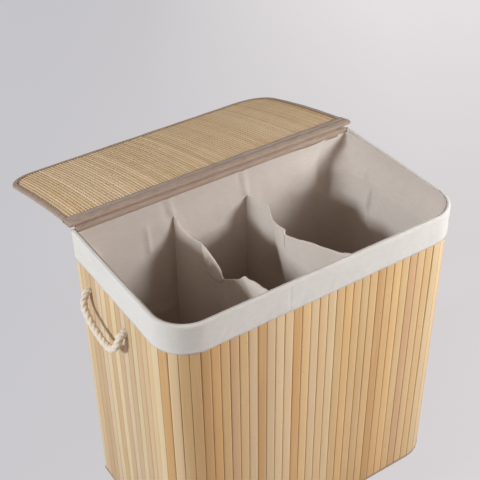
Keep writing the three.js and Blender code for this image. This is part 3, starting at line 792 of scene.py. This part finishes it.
def bag_creases(grid, inward):
    """How far in each point of the bag stands for the creases sewn or pressed into it."""
    x, y, z = grid[..., 0], grid[..., 1], grid[..., 2]
    on = {"back": inward[..., 1] < -0.45, "right": inward[..., 0] < -0.7}
    along = {"back": x, "right": y}
    depth = np.zeros(x.shape)
    for wall, rise, width, line in CREASES:
        depth += rise * on[wall] * bump_along(along[wall], z, line, width)
    return depth


# The dividers' seams on the back and the front wall, and how near to them the bag lies still
LEFT_SEAMS = (-0.104, -0.080)
RIGHT_SEAMS = (0.050, 0.056)
SEAM_TOPS = [(LEFT_SEAMS, (0.558, 0.560)), (RIGHT_SEAMS, (0.541, 0.592))]
SEAM_CALM = 0.010


def calm_seams(grid, inward, shift):
    for seams, tops in SEAM_TOPS:
        for seam_x, top, way in zip(seams, tops, (-1, 1)):
            near = np.exp(-((grid[..., 0] - seam_x) / SEAM_CALM) ** 2) * (way * inward[..., 1] > 0.9)
            shift *= 1 - near * smooth((top + SEAM_CALM - grid[..., 2]) / (2 * SEAM_CALM))


def build_bag():
    levels = np.concatenate([[BAG_TOP]] + [np.linspace(*span)[1:] for span in BAG_LEVELS])
    loops = np.array([bag_loop(z) for z in levels])
    heights = np.broadcast_to(levels[:, None, None], loops[..., :1].shape)
    grid = np.concatenate([loops[..., :2], heights], axis=2)
    inward = loops[..., 2:]
    grid[..., 2] = np.minimum(grid[..., 2], BAG_TOP - BAG_BACK_DROP * smooth(-2 * inward[..., 1] - 0.9))
    depth = smooth((BAG_LOOSE_FROM - grid[..., 2]) / BAG_LOOSE_OVER)
    shift = np.maximum(depth * ripples(grid, *BAG_SWELL), -BAG_SWELL_OUT)
    shift += bag_creases(grid, inward) * (0.3 + 0.7 * depth)
    calm_seams(grid, inward, shift)
    grid[..., :2] += inward * np.maximum(shift, -BAG_OUT_MOST)[..., None]
    floor = []
    centre = np.array([0, FLOOR_CENTRE_Y, BAG_FLOOR])
    for share in FLOOR_RINGS:
        ring = centre + (grid[-1] - centre) * share
        ring[:, 2] = BAG_FLOOR + (FLOOR_WAVE[0] + ripples(ring, FLOOR_WAVE)) * (share < 0.9)
        floor.append(ring)
    grid = np.concatenate([grid, np.array(floor)])[::-1]
    bag = thick_sheet("liner_bag", grid, -CLOTH, shaded_inner_cloth, looped=True)
    panels = [f"liner_corner_{side}_{i}" for side in ("left", "right") for i in (1, 2, 3)]
    finish_piece(
        bag, "liner", "cloth",
        "liner_left", "liner_front", "liner_right", "liner_back", "liner_floor", *panels,
    )


# The dividers: loose cloth sewn to the back and front walls, sagging and creased

BACK_SEAM_Y = HALF_DEPTH - BAG_CLEAR + 0.0004
FRONT_SEAM_Y = BAG_CLEAR - HALF_DEPTH - 0.0004
DIVIDER_COLUMNS = 170
DIVIDER_ROWS = 110
DIVIDER_FOOT = BAG_FLOOR + 0.003

# The left divider's upright fold, its slope to the right of the back seam, and its two slanting folds,
# each as two (y, z) points, with how wide the folds' rounding is and how steeply the cloth turns there
LEFT_FOLD_Y = 0.003
LEFT_FOLD_SOFT = 0.016
LEFT_SLOPE = 0.27
LEFT_HIGH_FOLD = [(-0.0372, 0.5305), (-0.0692, 0.5190)]
LEFT_HIGH = (0.0015, 0.60)
LEFT_LOW_FOLD = [(0.0462, 0.4588), (0.0182, 0.4317)]
LEFT_LOW = (0.004, -0.12)
LEFT_LOW_FADE = 0.022
LEFT_FRONT_FADE = 0.06

# The right divider's upright fold, as rows of heights, y and x, and the (y, x) of the hollow before it
RIGHT_FOLD = [
    [0.100, 0.250, 0.388, 0.420, 0.465, 0.505, 0.543, 0.600],
    [0.061, 0.061, 0.061, 0.0783, 0.0891, 0.0977, 0.1043, 0.112],
    [0.050, 0.056, 0.0823, 0.0760, 0.0706, 0.0661, 0.0625, 0.058],
]
RIGHT_HOLLOW = (0.018, 0.034)
RIGHT_FOLD_SOFT = 0.005
RIGHT_HOLLOW_SOFT = 0.035
STRAIGHT_BELOW = 0.30  # below this height the dividers straighten towards the floor

# The dividers' top edges, as (y, z) points from the back wall to the front wall
LEFT_TOP = [
    (0.1511, 0.5580), (0.1426, 0.5494), (0.1291, 0.5376), (0.1131, 0.5296), (0.0980, 0.5278),
    (0.0873, 0.5282), (0.0723, 0.5174), (0.0550, 0.5020), (0.0452, 0.4911), (0.0380, 0.4757),
    (0.0282, 0.4806), (0.0162, 0.4888), (0.0038, 0.4967), (-0.0113, 0.5081), (-0.0268, 0.5232),
    (-0.0371, 0.5334), (-0.0472, 0.5350), (-0.0634, 0.5389), (-0.0779, 0.5407), (-0.0928, 0.5418),
    (-0.1150, 0.5470), (-0.1350, 0.5540), (-0.1511, 0.5600),
]
RIGHT_TOP = [
    (0.1511, 0.5412), (0.1291, 0.5405), (0.1166, 0.5408), (0.1063, 0.5420), (0.1013, 0.5421),
    (0.0939, 0.5356), (0.0883, 0.5257), (0.0735, 0.5253), (0.0468, 0.5357), (0.0238, 0.5449),
    (0.0174, 0.5443), (0.0165, 0.5360), (0.0003, 0.5414), (-0.0195, 0.5477), (-0.0344, 0.5530),
    (-0.0502, 0.5584), (-0.0742, 0.5653), (-0.0943, 0.5702), (-0.1128, 0.5750), (-0.1237, 0.5791),
    (-0.1348, 0.5856), (-0.1511, 0.5925),
]


def eased(t, width):
    """Zero below zero and t above it, rounded by a width."""
    return 0.5 * (t + np.sqrt(t ** 2 + width ** 2))


def beyond(y, z, fold, width):
    """How far a place on a divider is past a fold that runs forward and down, rounded by a width."""
    top, low = fold
    dy, dz = low[0] - top[0], low[1] - top[1]
    return eased(((y - top[0]) * dz - (z - top[1]) * dy) / hypot(dy, dz), width)


def left_divider_x(y, z):
    """Where the left divider's cloth stands across the hamper at a place along it and a height: out
    to the right as far as an upright fold, and back, with two slanting folds near its low hem."""
    back_x, front_x = LEFT_SEAMS
    slant = LEFT_SLOPE * smooth(z / STRAIGHT_BELOW)
    fold_x = back_x + slant * (BACK_SEAM_Y - LEFT_FOLD_Y)
    turn = (front_x - fold_x) / (LEFT_FOLD_Y - FRONT_SEAM_Y) - slant
    x = back_x + slant * (BACK_SEAM_Y - y) + turn * eased(LEFT_FOLD_Y - y, LEFT_FOLD_SOFT)
    held = smooth((y - FRONT_SEAM_Y) / LEFT_FRONT_FADE)
    low = smooth((LEFT_LOW_FOLD[0][0] - y) / LEFT_LOW_FADE) * beyond(y, z, LEFT_LOW_FOLD, LEFT_LOW[0])
    high = beyond(y, z, LEFT_HIGH_FOLD, LEFT_HIGH[0])
    return x + held * (LEFT_HIGH[1] * high + LEFT_LOW[1] * low)


def right_divider_x(y, z):
    """As for the left one: out to the right as far as a sharp fold, then back to the left past the
    straight line between the seams, and on to the front seam."""
    back_x, front_x = RIGHT_SEAMS
    fold_y = np.interp(z, *RIGHT_FOLD[:2])
    fold_x = np.interp(z, RIGHT_FOLD[0], RIGHT_FOLD[2])
    hollow_y, hollow_x = RIGHT_HOLLOW
    slopes = [
        (fold_x - back_x) / (BACK_SEAM_Y - fold_y), (hollow_x - fold_x) / (fold_y - hollow_y),
        (front_x - hollow_x) / (hollow_y - FRONT_SEAM_Y),
    ]
    x = back_x + slopes[0] * (BACK_SEAM_Y - y) + (slopes[1] - slopes[0]) * eased(fold_y - y, RIGHT_FOLD_SOFT)
    x += (slopes[2] - slopes[1]) * eased(hollow_y - y, RIGHT_HOLLOW_SOFT)
    straight = back_x + (front_x - back_x) * (BACK_SEAM_Y - y) / (BACK_SEAM_Y - FRONT_SEAM_Y)
    return straight + smooth(z / STRAIGHT_BELOW) * (x - straight)


def divider_grid(top, x_at):
    line = spline(top, DIVIDER_COLUMNS)
    floor_ys = np.linspace(BACK_SEAM_Y, FRONT_SEAM_Y, DIVIDER_COLUMNS)

    def place(share, column):
        (y, z_top), floor_y = column
        at_y = floor_y + (y - floor_y) * share ** 2
        z = DIVIDER_FOOT + share * (z_top - DIVIDER_FOOT)
        return x_at(at_y, z), at_y, z

    return grid_of(place, np.linspace(0, 1, DIVIDER_ROWS) ** 0.6, list(zip(line, floor_ys)))


def build_divider(name, node, top, x_at, seed):
    grid = divider_grid(top, x_at)
    held = np.sin(np.pi * np.linspace(0, 1, DIVIDER_COLUMNS))[None] ** 0.5
    grid[..., 0] += held * ripples(grid, (0.0016, (8, 26, 12), seed), (0.0004, (0, 90, 50), seed + 1))
    # the hem is a turned edge, more than twice as thick and a little wavy
    hem = smooth(np.arange(DIVIDER_ROWS) - DIVIDER_ROWS + 4.0)[:, None]
    grid[-1, :, 2] += held[0] * ripples(grid[-1], (0.0010, (0, 140, 0), seed + 2))
    thickness = CLOTH * (1 + 1.4 * hem) * np.ones(grid.shape[:2])
    piece = thick_sheet(name, grid, thickness, shaded_inner_cloth)
    finish_piece(piece, "liner", "cloth", node)
    return piece


# The left divider's hem has flopped over to the left in the middle of its length, from this part of
# its top edge to these (x, y, z) points
FLOP_RIDGE = LEFT_TOP[5:10]
FLOP_HEM = [
    (-0.0877, 0.0861, 0.5290), (-0.0903, 0.0771, 0.5175), (-0.0909, 0.0717, 0.5067),
    (-0.0917, 0.0727, 0.4963), (-0.0890, 0.0644, 0.4918), (-0.0905, 0.0683, 0.4800),
    (-0.0878, 0.0599, 0.4780), (-0.0851, 0.0536, 0.4710), (-0.0817, 0.0481, 0.4679),
    (-0.0780, 0.0414, 0.4687), (-0.0752, 0.0370, 0.4748),
]
FLOP_COLUMNS = 40
FLOP_ROWS = 8
FLOP_SAG = 0.004
FLOP_LIFT = 0.0006


def build_flop():
    ridge = spline(FLOP_RIDGE, FLOP_COLUMNS)
    starts = [np.array([left_divider_x(y, z) + FLOP_LIFT, y, z + FLOP_LIFT]) for y, z in ridge]

    def place(t, column):
        start, end, along = column
        sag = FLOP_SAG * sin(pi * t) * sin(pi * along)
        return start + (end - start) * t - (sag, 0, 0)

    columns = list(zip(starts, spline(FLOP_HEM, FLOP_COLUMNS), np.linspace(0, 1, FLOP_COLUMNS)))
    grid = grid_of(place, np.linspace(0, 1, FLOP_ROWS), columns)
    piece = thick_sheet("divider_left_hem", grid, 2 * CLOTH, shaded_inner_cloth)
    finish_piece(piece, "liner", "cloth")
    return piece


def build_dividers():
    left = build_divider("divider_cloth_left", "divider_left", LEFT_TOP, left_divider_x, 20)
    right = build_divider("divider_cloth_right", "divider_right", RIGHT_TOP, right_divider_x, 30)
    flop = build_flop()


# The lid, in lengths u from its hinge edge, v across it and w above its middle

def bent(u, v, w):
    root, angle = LID_ROOT_ANGLE, LID_ROOT_ANGLE + u / LID_BEND
    y = HALF_DEPTH + LID_ROOT_BACK + LID_BEND * (sin(angle) - sin(root)) + w * sin(angle)
    z = RIM + LID_ROOT_UP - LID_BEND * (cos(root) - cos(angle)) + w * cos(angle)
    return LID_MIDDLE_X + v, y, z


def lid_reach(v, inset):
    """How far u goes at a place across the lid, whose far corners are round."""
    past = max(0.0, abs(v) - (LID_HALF - LID_RADIUS))
    radius = LID_RADIUS - inset
    return LID_LENGTH - LID_RADIUS + sqrt(max(0.0, radius ** 2 - past ** 2))


def lid_strip(middle, width, number):
    half, thick, edge = width / 2, LID_MAT / 2, LID_SLAT_ROUND
    profile = [
        (-half, -thick + edge), (-half + edge, -thick), (half - edge, -thick), (half, -thick + edge),
        (half, thick - edge), (half - edge, thick), (0, thick + LID_SLAT_CROWN), (-half + edge, thick),
        (-half, thick - edge),
    ]
    end = min(lid_reach(middle + way * half, LID_SLAT_INSET) for way in (-1, 1))
    rings = []
    for u in np.linspace(LID_SLAT_INSET, end, LID_SLAT_LEVELS):
        sway = LID_SLAT_SWAY * wander(number * 2.3, u * 9, 1)
        lift = LID_SLAT_LIFT * wander(number * 2.3, u * 6, 5)
        rings.append([bent(u, middle + across + sway, out + lift) for across, out in profile])
    return rings, tint_of(LID_LIT_TINTS, number)


def build_lid_slats():
    width = 2 * (LID_HALF - LID_SLAT_INSET)
    count = round(width / LID_SLAT_PITCH)
    pitch = width / count
    middles = [(i + 0.5) * pitch - width / 2 for i in range(count)]
    strips = [lid_strip(at, pitch - LID_SLAT_GAP, LID_NUMBER + i) for i, at in enumerate(middles)]
    slats = strips_mesh("lid_strips", strips, bamboo_lid)
    finish_piece(slats, "lid", "lid_slats", "lid_slats")

    # a thin woven core holds the strips together
    def place(t, v):
        return bent(LID_CORE_INSET + t * (lid_reach(v, LID_CORE_INSET) - LID_CORE_INSET), v, LID_CORE / 2)

    half = LID_HALF - LID_CORE_INSET
    grid = grid_of(place, np.linspace(0, 1, LID_CORE_ROWS), np.linspace(-half, half, LID_CORE_COLUMNS))
    core = thick_sheet("lid_core", grid, LID_CORE, shaded_backing_cloth)
    finish_piece(core, "lid", "tape")


def edge_round(roundness, half, start):
    """The round outer edge of a folded tape, from an angle near its top down to its underside."""
    angles = np.linspace(start, -pi / 2, 7)
    return [(roundness - roundness * cos(angle), half * sin(angle)) for angle in angles]


def fold_inside(width, middle, edge, half):
    """The inner face of a folded tape, from below round its inner edge and back above."""
    inner = half - LID_TAPE
    below = [(width, -inner), (middle, -inner), (edge, LID_TAPE_MITRE - inner)]
    return below + [(u, -w) for u, w in below[::-1]]


def fold_section(width, half):
    """The section of a tape folded round an edge, as (inset, w) pairs, open towards the lid."""
    top = [(width, half)] + [(width * t, half + LID_TAPE_PUFF * sin(pi * t)) for t in (0.75, 0.5, 0.25)]
    bottom = [(width * t, -half) for t in (0.25, 0.5, 0.75, 1)]
    inside = fold_inside(width, width / 2, 2 * LID_TAPE, half)
    return top + edge_round(LID_TAPE_ROUND, half, pi / 2) + bottom + inside


def hinge_band_section(half):
    """As for the narrow tape, for the wide one along the hinge."""
    top = [(u, half + up) for u, up in LID_BAND_TOP]
    bottom = [(0.010, -half), (0.020, -half), (LID_BAND, -half)]
    inside = fold_inside(LID_BAND, 0.015, 0.0017, half)
    return top + edge_round(LID_BAND_ROUND, half, pi / 2 - 0.3) + bottom + inside


def swept(name, stations, section, material, wobble, seed):
    """A closed tape: a section carried along stations of the lid's edge, as (u, v, way inwards)."""
    rings = []
    for k, (u, v, nu, nv) in enumerate(stations):
        ring = []
        for inset, w in section:
            loose = wobble * wander(k * 0.35, inset * 150, seed)
            lift = wobble * wander(k * 0.22, inset * 90, seed + 5)
            ring.append(bent(u + (inset + loose) * nu, v + (inset + loose) * nv, w + lift * np.sign(w)))
        rings.append(ring)
    points = [p for ring in rings for p in ring]
    return new_piece(name, points, ring_faces(len(rings), len(section)), material)


def build_lid_tapes():
    half = LID_MAT / 2 + LID_TAPE_OUT
    end = LID_LENGTH - LID_RADIUS
    side = np.linspace(LID_TAPE_START, end, 26)[:-1]
    edge = [(u, -LID_HALF, 0.0, 1.0) for u in side]
    for centre, first in ((LID_RADIUS - LID_HALF, 0), (LID_HALF - LID_RADIUS, 1)):
        for t in np.linspace(0, 1, 14):
            angle = (first + t) * pi / 2
            nu, nv = -sin(angle), cos(angle)
            edge.append((end - LID_RADIUS * nu, centre - LID_RADIUS * nv, nu, nv))
        if first == 0:
            far = LID_HALF - LID_RADIUS
            edge += [(LID_LENGTH, v, -1.0, 0.0) for v in np.linspace(-far, far, 50)[1:-1]]
    edge += [(u, LID_HALF, 0.0, -1.0) for u in side[::-1]]
    tape = swept("lid_binding", edge, fold_section(LID_TAPE_WIDTH, half), tape_cloth, LID_TAPE_LOOSE, 3)
    finish_piece(tape, "lid", "tape", "lid_edge_tape")

    hinge_edge = [(0.0, v, 1.0, 0.0) for v in np.linspace(-LID_HALF, LID_HALF, 150)]
    band = swept("lid_hinge_band", hinge_edge, hinge_band_section(half), tape_cloth, LID_BAND_LOOSE, 8)
    finish_piece(band, "lid", "tape", "lid_hinge_tape")


# The hinge tape over the back edge, and the flap that joins the lid to it

def build_hinge():
    low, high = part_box("hinge_tape")
    out, inside = high.y, low.y + HINGE_TAPE_IN
    profile = [(out, z) for z in np.linspace(low.z, RIM - 0.002, 8)]
    profile += [
        (out - 0.0004, RIM + 0.0002), (out - 0.0018, RIM + 0.0008), ((out + inside) / 2, RIM + 0.0011),
        (inside + 0.001, RIM + 0.0006), (inside, RIM - 0.001), (inside, RIM - 0.0035),
        (inside, RIM - HINGE_TAPE_DROP),
    ]
    grid = grid_of(lambda at, x: (x, *at), profile, np.linspace(low.x, high.x, HINGE_COLUMNS))
    grid[..., 1] -= ripples(grid, (0.0004, (30, 0, 40), 40)) * (grid[..., 2] > low.z + 0.001)
    grid[-1, :, 2] += ripples(grid[-1], (0.0008, (45, 0, 0), 41))
    strip = thick_sheet("hinge_strip", grid, CLOTH, tape_cloth)
    finish_piece(strip, "hamper", "tape", "hinge_tape")

    # the flap rises from the strip's outer edge to the underside of the lid's band
    start_y, start_z = out - 0.0008, RIM + 0.0004
    end_y, end_z = HALF_DEPTH + LID_ROOT_BACK + 0.0035, RIM + 0.0030
    columns = np.linspace(low.x + FLAP_SHORT, high.x - FLAP_SHORT, HINGE_COLUMNS)
    rows = list(zip(np.linspace(start_y, end_y, 7), np.linspace(start_z, end_z, 7)))
    grid = grid_of(lambda at, x: (x, *at), rows, columns)
    flap = thick_sheet("hinge_flap", grid, FLAP, tape_cloth)
    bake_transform(flap)


# The rope handles: three strands twisted together

def rope_radius(turned):
    """The rope's radius at an angle round it: the outline of three round strands."""
    offset = ROPE_STRAND_OFFSET
    nearest = (turned + pi / 3) % (2 * pi / 3) - pi / 3
    return offset * np.cos(nearest) + np.sqrt((ROPE / 2 - offset) ** 2 - (offset * np.sin(nearest)) ** 2)


def build_rope(side, name, node):
    points = [
        Vector((side * (HALF_WIDTH + out), ROPE_MIDDLE_Y + along, ROPE_HEIGHT - down))
        for out, along, down in ROPE_ROUTE
    ]
    inner_x = side * (HALF_WIDTH - MAT - ROPE_INSIDE)
    ends = [Vector((inner_x, end.y, end.z + ROPE_END_UP)) for end in (points[0], points[-1])]
    # both ends go in through their holes, and the front one turns back to its hole's mouth
    points = [ends[0], *points[:-1], ends[1], points[-1]]
    path = spline([tuple(p) for p in points], ROPE_RINGS)
    tangents = np.gradient(path, axis=0)
    tangents /= np.linalg.norm(tangents, axis=1, keepdims=True)
    normal = np.array([0.0, 0.0, 1.0])
    step = np.linalg.norm(path[1] - path[0])
    angles = np.linspace(0, 2 * np.pi, ROPE_SIDES, endpoint=False)
    vertices, grooves = [], []
    for k in range(ROPE_RINGS):
        normal = normal - tangents[k] * normal.dot(tangents[k])
        normal /= np.linalg.norm(normal)
        binormal = np.cross(tangents[k], normal)
        twist = 2 * np.pi * k * step / ROPE_LAY
        radius = rope_radius(angles - twist)
        yarns = ROPE_YARN * np.sin(9 * angles + 2.2 * twist)
        fuzz = [ROPE_FUZZ * wander(k * 0.4, a * 3, side) for a in angles]
        full = ROPE_FULL * radius + yarns + np.array(fuzz)
        across, up = np.outer(full * np.cos(angles), normal), np.outer(full * np.sin(angles), binormal)
        vertices += list(path[k] + across + up)
        # painted shade in the grooves between strands, darkest near the holes
        share = 0.30 + 0.45 * abs(2 * k / ROPE_RINGS - 1) ** 3
        grooves += list(smooth((ROPE_GROOVE_SHADE[0] - radius) / ROPE_GROOVE_SHADE[1]) * share)
    faces = ring_faces(ROPE_RINGS, ROPE_SIDES)
    rope = new_piece(name, vertices, faces, rope_cotton, merge=False, groove=grooves)
    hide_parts(node)
    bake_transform(rope)
    tuple(points[0])


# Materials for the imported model's own pieces

def dress_nodes():
    knots = [f"{side}_knot_{end}" for side in ("left", "right") for end in ("front", "back")]
    looks = [
        (wire_steel, ["top_hoop", "foot_hoop"]), (tape_cloth, ["top_tape", "foot_tape"]),
        (board_fibre, ["base_board"]), (rope_cotton, knots),
    ]
    for material, nodes in looks:
        for node in nodes:
            mesh = bpy.data.objects[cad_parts[node].name].data
            mesh.materials.clear()
            mesh.materials.append(material)


# Camera, floor and lights

def build_camera():
    flat = cos(CAMERA_ELEVATION)
    away = Vector((
        sin(CAMERA_AZIMUTH) * flat, -cos(CAMERA_AZIMUTH) * flat, sin(CAMERA_ELEVATION),
    ))
    right = (-away).cross(Vector((0, 0, 1))).normalized()
    up = right.cross(-away)
    c, s = cos(CAMERA_ROLL), sin(CAMERA_ROLL)
    data = bpy.data.cameras.new("camera")
    data.lens = CAMERA_LENS_MM
    data.sensor_width = SENSOR_MM
    data.clip_start = 0.05
    camera = link("camera", data)
    turn = Matrix((c * right + s * up, c * up - s * right, away)).transposed().to_4x4()
    camera.matrix_world = Matrix.Translation(CAMERA_TARGET + away * CAMERA_DISTANCE) @ turn
    bpy.context.scene.camera = camera


def build_floor():
    """A pale floor, which the camera and reflections see at its own colour, with painted shade on its left
    and painted light to the right and far away, and a soft shadow.
    """
    shader = Shader("floor")
    x, y, _ = shader.axes()
    long, short = PICTURE_ACROSS

    def along(way_x, way_y):
        return shader.math("ADD", shader.times(x, way_x), shader.times(y, way_y))

    across, away = along(long, -short), along(short, long)
    tone = shader.mix(shader.ramp(across, *FLOOR_ACROSS), linear(FLOOR_SHADED_LEFT), linear(FLOOR_LIT_RIGHT))
    far = shader.times(shader.ramp(away, *FLOOR_FAR_AWAY), shader.ramp(across, *FLOOR_FAR_ACROSS))
    tone = shader.mix(far, tone, linear(FLOOR_LIT_FAR))
    shader.set(Base_Color=tone, Roughness=0.8, Specular_IOR_Level=0.1)
    glow = shader.add("ShaderNodeEmission", {"Color": tone})
    path = shader.tree.nodes.new("ShaderNodeLightPath")
    seen = shader.math("MAXIMUM", path.outputs["Is Camera Ray"], path.outputs["Is Glossy Ray"])
    seen = shader.math("MAXIMUM", seen, path.outputs["Is Transmission Ray"])
    share = shader.times(seen, FLOOR_GLOW)
    mixed = shader.add("ShaderNodeMixShader", {0: share, 1: shader.bsdf.outputs[0], 2: glow})
    shader.put(shader.tree.nodes["Material Output"].inputs["Surface"], mixed)
    corners = [(x * FLOOR_HALF, y * FLOOR_HALF, 0) for x, y in ((-1, -1), (1, -1), (1, 1), (-1, 1))]
    mesh = bpy.data.meshes.new("floor")
    mesh.from_pydata(corners, [], [(0, 1, 2, 3)])
    mesh.materials.append(shader.material)
    floor = link("floor", mesh)


def build_lights():
    for name, place, target, side, power, colour in LIGHTS:
        data = bpy.data.lights.new(name, "AREA")
        data.shape = "RECTANGLE"
        data.size = data.size_y = side
        data.energy = power
        data.color = colour
        light = link(name, data)
        way = (Vector(target) - Vector(place)).normalized()
        light.rotation_euler = way.to_track_quat("-Z", "Y").to_euler()
        light.location = place
    world = bpy.data.worlds.new("world")
    bpy.context.scene.world = world
    world.use_nodes = True
    tree = world.node_tree
    background = tree.nodes["Background"]
    background.inputs["Color"].default_value = AMBIENT_COLOUR
    background.inputs["Strength"].default_value = AMBIENT_STRENGTH
    # past the floor's edge the camera sees the floor's pale grey
    pale = tree.nodes.new("ShaderNodeBackground")
    pale.inputs["Color"].default_value = linear(BACKDROP)
    seen = tree.nodes.new("ShaderNodeMixShader")
    tree.links.new(tree.nodes.new("ShaderNodeLightPath").outputs["Is Camera Ray"], seen.inputs[0])
    tree.links.new(background.outputs[0], seen.inputs[1])
    tree.links.new(pale.outputs[0], seen.inputs[2])
    tree.links.new(seen.outputs[0], tree.nodes["World Output"].inputs["Surface"])


bpy.context.scene.view_settings.view_transform = "Standard"
build_camera()
build_rope(-1, "left_rope", "left_handle_rope")
build_rope(1, "right_rope", "right_handle_rope")
build_walls()
build_cuff()
build_bag()
build_dividers()
build_lid_slats()
build_lid_tapes()
build_hinge()
dress_nodes()
build_floor()
build_lights()
